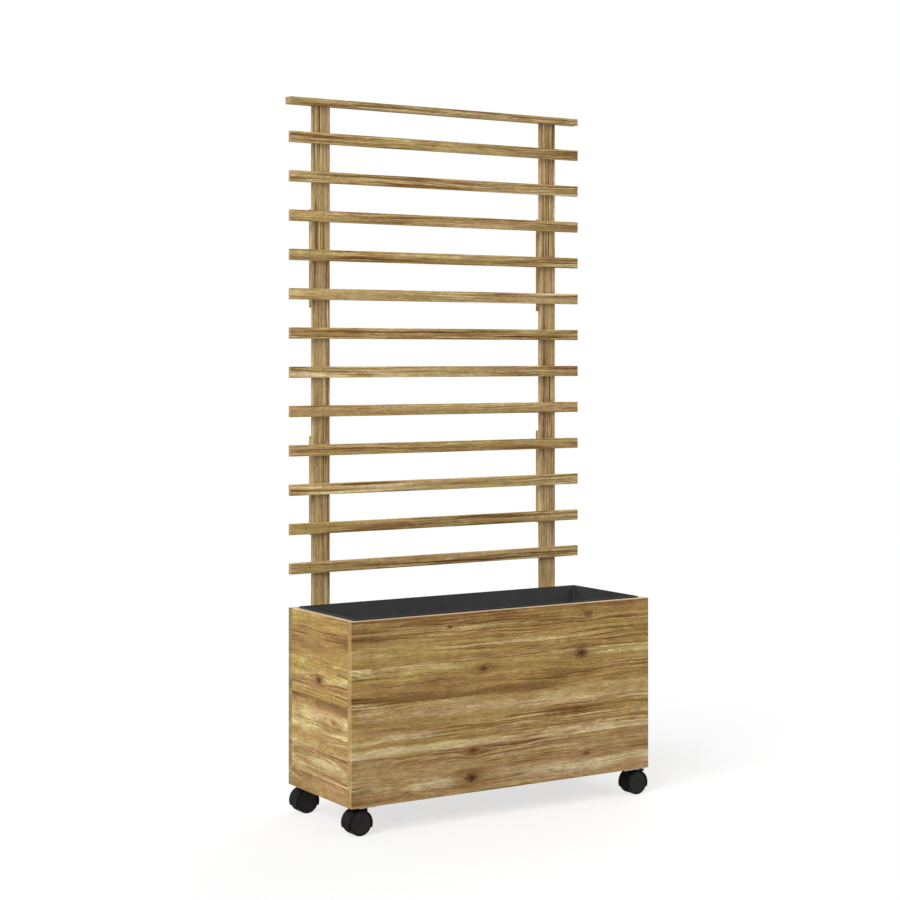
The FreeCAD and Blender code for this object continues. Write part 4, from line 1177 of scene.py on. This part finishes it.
@dataclass
class Fasteners:
    """The screws and brads, set by a node tree at the places that the CAD solids give.

    The shares of a screw and of a brad are its head's height and its shank's radius, by the head's
    radius. The cross recess has its own share of that radius, and its arms have shares of the recess.
    """

    palette: Palette
    segments: int = 16
    recess_share: float = 0.52
    arm_width_share: float = 0.27
    arm_reach_share: float = 0.92
    screw_shares: tuple[float, float] = (0.55, 0.515)
    brad_shares: tuple[float, float] = (0.29, 0.47)
    kinds: dict[str, tuple[Vector, ...]] = field(default_factory=lambda: {
        "trellis_screws": (Vector((0, 1, 0)), Vector((0, 0, 1))),
        "batten_screws": (Vector((0, 0, -1)),),
        "plate_screws": (Vector((0, 0, -1)),),
        "slat_brads": (Vector((0, -1, 0)),),
    })

    def build(self) -> None:
        """Makes every group of fasteners."""
        tree = FastenerField()
        for seed, (node, facings) in enumerate(self.kinds.items(), start=3):
            for facing in facings:
                self.group(tree, node, facing, seed, len(facings) > 1)

    def group(self, tree: FastenerField, node: str, facing: Vector, seed: int, several: bool) -> None:
        """Makes the fasteners of a node that face one way, one piece for each length.

        Args:
            tree: The node tree that sets them.
            node: The CAD node.
            facing: Where the heads point.
            seed: The seed of the heads' random turns.
            several: Whether the node has fasteners that face other ways.
        """
        lengths, head_width = self.places(node, facing)
        driven = node != "slat_brads"
        material = self.palette.made["zinc steel" if driven else "dull brad steel"]
        letter = "xyz"[longest(facing)]
        for order, (length, points) in enumerate(sorted(lengths.items())):
            name = f"{node}_{letter}{order}" if several or len(lengths) > 1 else f"{node}_set"
            mesh = bpy.data.meshes.new("fastener_points")
            mesh.from_pydata(points, [], [])
            attribute = mesh.attributes.new("facing", "FLOAT_VECTOR", "POINT")
            attribute.data.foreach_set("vector", tuple(facing) * len(points))
            master = new_piece("fastener_master", self.shape(length, head_width, driven))
            piece = tree.run(name, mesh, Fastener=master, Seed=seed, Material=material)
            bpy.data.objects.remove(master)
            shade(piece.data, 35.0)
            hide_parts(node)
            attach(piece, BODY)
            LOG.info("%s: %d of length %.4f", name, len(points), length)

    @staticmethod
    def places(node: str, facing: Vector) -> tuple[dict[float, list[Vector]], float]:
        """Finds the heads of a node's fasteners that face one way.

        Args:
            node: The CAD node.
            facing: Where the heads point.

        Returns:
            The tops of the heads by the fasteners' length, and the heads' width.
        """
        axis = longest(facing)
        lengths: dict[float, list[Vector]] = {}
        head_width = 0.0
        for low, high in islands(node):
            size = high - low
            if longest(size) != axis:
                continue
            point = (low + high) / 2
            point[axis] = high[axis] if facing[axis] > 0 else low[axis]
            lengths.setdefault(round(size[axis], 4), []).append(point)
            head_width = min(size)
        return lengths, head_width

    def shape(self, length: float, head_width: float, driven: bool) -> bpy.types.Mesh:
        """Makes one fastener, its head's top at the origin and its shank down along -Z.

        Args:
            length: Its whole length.
            head_width: Its head's diameter.
            driven: Whether its head has a cross recess.

        Returns:
            The mesh.
        """
        head = head_width / 2
        rise, shank = (head * share for share in (self.screw_shares if driven else self.brad_shares))
        inner = head * self.recess_share
        work = lathe([
            (0.0, -length), (shank * 0.3, -length), (shank, -length + shank * 2.0), (shank, -rise),
            (head, -rise), (head * 0.985, -rise * 0.66), (head * 0.86, -rise * 0.30),
            (inner, -rise * 0.06), (0.0, 0.0),
        ], self.segments)
        if driven:
            self.cut_cross(work, inner, rise)
        return finished(work, "fastener")

    def cut_cross(self, work: bmesh.types.BMesh, inner: float, rise: float) -> None:
        """Presses a cross recess in a screw's head.

        Args:
            work: The screw.
            inner: The recess's radius.
            rise: The head's height.
        """
        top = [vertex for vertex in work.verts if vertex.co.z > -rise / 2]
        middle = next(vertex for vertex in top if vertex.co.xy.length < WELD)
        rim = sorted(
            (vertex for vertex in top if abs(vertex.co.xy.length - inner) < inner * 0.02),
            key=lambda vertex: math.atan2(vertex.co.y, vertex.co.x),
        )
        bmesh.ops.delete(work, geom=[middle], context="VERTS")
        pressed = []
        for vertex in rim:
            angle = math.atan2(vertex.co.y, vertex.co.x)
            is_arm = max(abs(math.cos(angle)), abs(math.sin(angle))) > 0.97
            reach = inner * (self.arm_reach_share if is_arm else self.arm_width_share)
            pressed.append(work.verts.new((reach * math.cos(angle), reach * math.sin(angle), vertex.co.z)))
        floor = [work.verts.new((vertex.co.x * 0.6, vertex.co.y * 0.6, -rise * 0.62)) for vertex in pressed]
        heart = work.verts.new((0.0, 0.0, -rise * 0.75))
        for here, there in zip(range(len(rim)), (*range(1, len(rim)), 0)):
            work.faces.new((rim[here], rim[there], pressed[there], pressed[here]))
            work.faces.new((pressed[here], pressed[there], floor[there], floor[here]))
            work.faces.new((floor[here], floor[there], heart))
        bmesh.ops.recalc_face_normals(work, faces=work.faces)


@dataclass
class Caster:
    """One twin-wheel swivel caster.

    The shares are parts of a wheel's radius, apart from the well's, which is a part of its width.
    """

    palette: Palette
    corner: str
    braked: bool
    segments: int = 72
    edge: float = 0.0014
    edge_steps: int = 4
    bore_share: float = 0.102
    bore_break: float = 0.0003
    hub_share: float = 0.26
    well_share: float = 0.79
    rim_share: float = 0.82
    rim_break: float = 0.0006
    ring_share: float = 0.86
    ring_width: float = 0.0014
    ring_depth: float = 0.0014
    dish_depth: float = 0.0005
    cap_radius: float = 0.0050
    cap_groove: float = 0.0006
    cap_crown: float = 0.0003

    def build(self) -> None:
        """Makes the caster's pieces."""
        made = self.palette.made
        swivel = f"{self.corner}_swivel"
        softened(f"{self.corner}_hood", made["caster plastic"], swivel)
        softened(f"{self.corner}_axle", made["zinc steel"], swivel, 45.0)
        for place in ("near", "far"):
            self.wheel(place)
        if self.braked:
            brake = f"{self.corner}_brake"
            softened(f"{brake}_lever", made["lever plastic"], brake)
            softened(f"{self.corner}_lever_pin", made["zinc steel"], swivel, 45.0)
        LOG.info("caster %s, brake %s", self.corner, self.braked)

    def wheel(self, place: str) -> bpy.types.Object:
        """Makes one wheel: a turned disc with a ring groove and a small cap in its outer face.

        Args:
            place: Which wheel of the pair, near or far.

        Returns:
            The piece.
        """
        node = f"{self.corner}_{place}_wheel"
        low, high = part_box(node)
        work = lathe(self.wheel_profile((high.z - low.z) / 2, high.y - low.y), self.segments)
        outwards = -1.0 if place == "near" else 1.0
        turn = Matrix.Rotation(-outwards * math.pi / 2, 4, "X")
        centre = (low + high) / 2
        centre.y = high.y if outwards < 0 else low.y
        bmesh.ops.transform(work, matrix=Matrix.Translation(centre) @ turn, verts=work.verts)
        bmesh.ops.recalc_face_normals(work, faces=work.faces)
        mesh = finished(work, f"{node}_disc")
        shade(mesh, 30.0)
        mesh.materials.append(self.palette.made["wheel plastic"])
        piece = new_piece(f"{node}_disc", mesh)
        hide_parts(node)
        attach(piece, node)
        return piece

    def wheel_profile(self, radius: float, width: float) -> list[tuple[float, float]]:
        """The wheel's half section, from its open inner side at height zero to its outer face.

        Args:
            radius: The tread's radius.
            width: The wheel's width.

        Returns:
            Pairs of radius and height.
        """
        bore, hub, rim = radius * self.bore_share, radius * self.hub_share, radius * self.rim_share
        well = width * self.well_share
        angles = [math.pi / 2 * step / self.edge_steps for step in range(self.edge_steps + 1)]
        edge = [
            (radius - self.edge * (1 - math.cos(angle)), width - self.edge * (1 - math.sin(angle)))
            for angle in angles
        ]
        ring, deep = radius * self.ring_share, width - self.ring_depth
        cap, dish = self.cap_radius, width - self.dish_depth
        return [
            (0.0, well), (bore, well), (bore, 0.0004), (bore + self.bore_break, 0.0), (hub, 0.0), (hub, well),
            (rim, well), (rim, 0.0), (radius - self.rim_break, 0.0), (radius, self.rim_break),
            *edge,
            (ring + self.ring_width, width), (ring + self.ring_width * 0.75, deep), (ring, deep),
            (ring - self.ring_width * 0.25, width), (cap * 1.9, dish), (cap + self.cap_groove, dish),
            (cap + self.cap_groove / 2, dish - self.cap_groove), (cap, dish),
            (cap * 0.6, dish + self.cap_crown * 2 / 3), (0.0, dish + self.cap_crown),
        ]


@dataclass
class CasterMounts:
    """The plates and stems that hold the casters."""

    palette: Palette

    def build(self) -> None:
        """Makes the plates and stems."""
        made = self.palette.made
        softened("caster_plates", made["bright zinc steel"], BODY)
        softened("swivel_stems", made["zinc steel"], BODY)
        LOG.info("caster plates and stems")


@dataclass
class Studio:
    """The floor, the lights and the camera, which stands level at the photograph's viewing angle.

    The focal length and the horizon are in pixels of the photograph, whose sides are as long as
    image says. The heading is the camera's direction on the floor.
    """

    image: float = 900.0
    focal: float = 1917.0
    horizon: float = 356.6
    eye: tuple[float, float, float] = (-2.2415, -3.5087, 0.9658)
    heading: tuple[float, float] = (0.5297, 0.8482)
    sensor: float = 36.0
    sky: float = 0.45
    key: float = 0.87
    key_from: tuple[float, float, float] = (-0.75, -0.35, 0.56)
    fill: float = 0.30
    fill_from: tuple[float, float, float] = (0.60, 0.50, 0.62)
    lamp_distance: float = 4.0
    softness: float = 40.0
    floor_size: float = 60.0
    floor_grey: float = 0.62
    floor_glow: float = 1.36
    glow_share: float = 0.50

    def build(self) -> None:
        """Sets up the whole studio."""
        self.floor()
        self.world()
        self.lamp("key light", Vector(self.key_from), self.key)
        self.lamp("fill light", Vector(self.fill_from), self.fill)
        self.camera()
        bpy.context.scene.view_settings.view_transform = "Standard"
        LOG.info("studio")

    @staticmethod
    def seen(graph: Graph, *rays: str) -> Socket:
        """Tells whether a ray is of one of several kinds.

        Args:
            graph: The graph of a material or a world.
            *rays: The kinds' names on the Light Path node.

        Returns:
            The socket, which is 1 for such a ray and 0 for others.
        """
        path = graph.add("ShaderNodeLightPath")
        kinds = (path.outputs[f"Is {ray} Ray"] for ray in rays)
        return functools.reduce(lambda first, other: graph.math("MAXIMUM", first, other), kinds)

    def floor(self) -> None:
        """Makes the pale floor, which keeps a soft shadow."""
        half = self.floor_size / 2
        mesh = bpy.data.meshes.new("floor")
        corners = [(-half, -half, 0), (half, -half, 0), (half, half, 0), (-half, half, 0)]
        mesh.from_pydata(corners, [], [(0, 1, 2, 3)])
        material, graph, shader = open_material("pale floor")
        surface = shader.outputs[0].links[0].to_socket
        graph.wire(shader, Base_Color=(self.floor_grey,) * 3, Roughness=0.9, Specular_IOR_Level=0.0)
        glow = graph.add("ShaderNodeEmission", (1.0, 1.0, 1.0), self.floor_glow)
        share = graph.product(self.seen(graph, "Camera", "Transmission"), self.glow_share)
        mixed = graph.add("ShaderNodeMixShader", share, shader.outputs[0], glow.outputs[0])
        graph.feed(surface, mixed.outputs[0])
        mesh.materials.append(material)
        new_piece("floor", mesh)

    def world(self) -> None:
        """Makes the sky: white to the camera and in reflections, plain grey light elsewhere."""
        world = bpy.data.worlds.new("studio")
        world.use_nodes = True
        world.node_tree.nodes.clear()
        graph = Graph(world.node_tree)
        white = graph.product(self.seen(graph, "Camera", "Transmission", "Glossy"), 1.0 - self.sky)
        sky = graph.add("ShaderNodeBackground", (1.0, 1.0, 1.0), graph.sum(self.sky, white))
        graph.add("ShaderNodeOutputWorld", sky.outputs[0])
        bpy.context.scene.world = world

    def lamp(self, name: str, towards: Vector, strength: float) -> None:
        """Hangs a soft light.

        Args:
            name: The light's name.
            towards: Its direction from the object.
            strength: Its strength, where 1 lights a white face fully.
        """
        data = bpy.data.lights.new(name, "SUN")
        data.angle = math.radians(self.softness)
        data.energy = strength * math.pi
        lamp = bpy.data.objects.new(name, data)
        lamp.location = towards * self.lamp_distance
        lamp.rotation_euler = towards.to_track_quat("Z", "Y").to_euler()
        bpy.context.scene.collection.objects.link(lamp)

    def camera(self) -> None:
        """Places the camera."""
        data = bpy.data.cameras.new("camera")
        data.sensor_width = self.sensor
        data.lens = self.focal / self.image * self.sensor
        data.shift_y = self.horizon / self.image - 0.5
        camera = bpy.data.objects.new("camera", data)
        camera.location = self.eye
        camera.rotation_euler = (math.pi / 2, 0.0, -math.atan2(*self.heading))
        bpy.context.scene.collection.objects.link(camera)
        bpy.context.scene.camera = camera


def main() -> None:
    """Builds the planter's looks and the studio."""
    logging.basicConfig(level=logging.INFO, format="%(name)s: %(message)s")
    palette = Palette()
    Trough(palette).build()
    Trellis(palette).build()
    Fasteners(palette).build()
    CasterMounts(palette).build()
    for row in ("front", "back"):
        for side in ("left", "right"):
            Caster(palette, f"{row}_{side}", braked=side == "right").build()
    Studio().build()


if __name__ == "__main__":
    main()
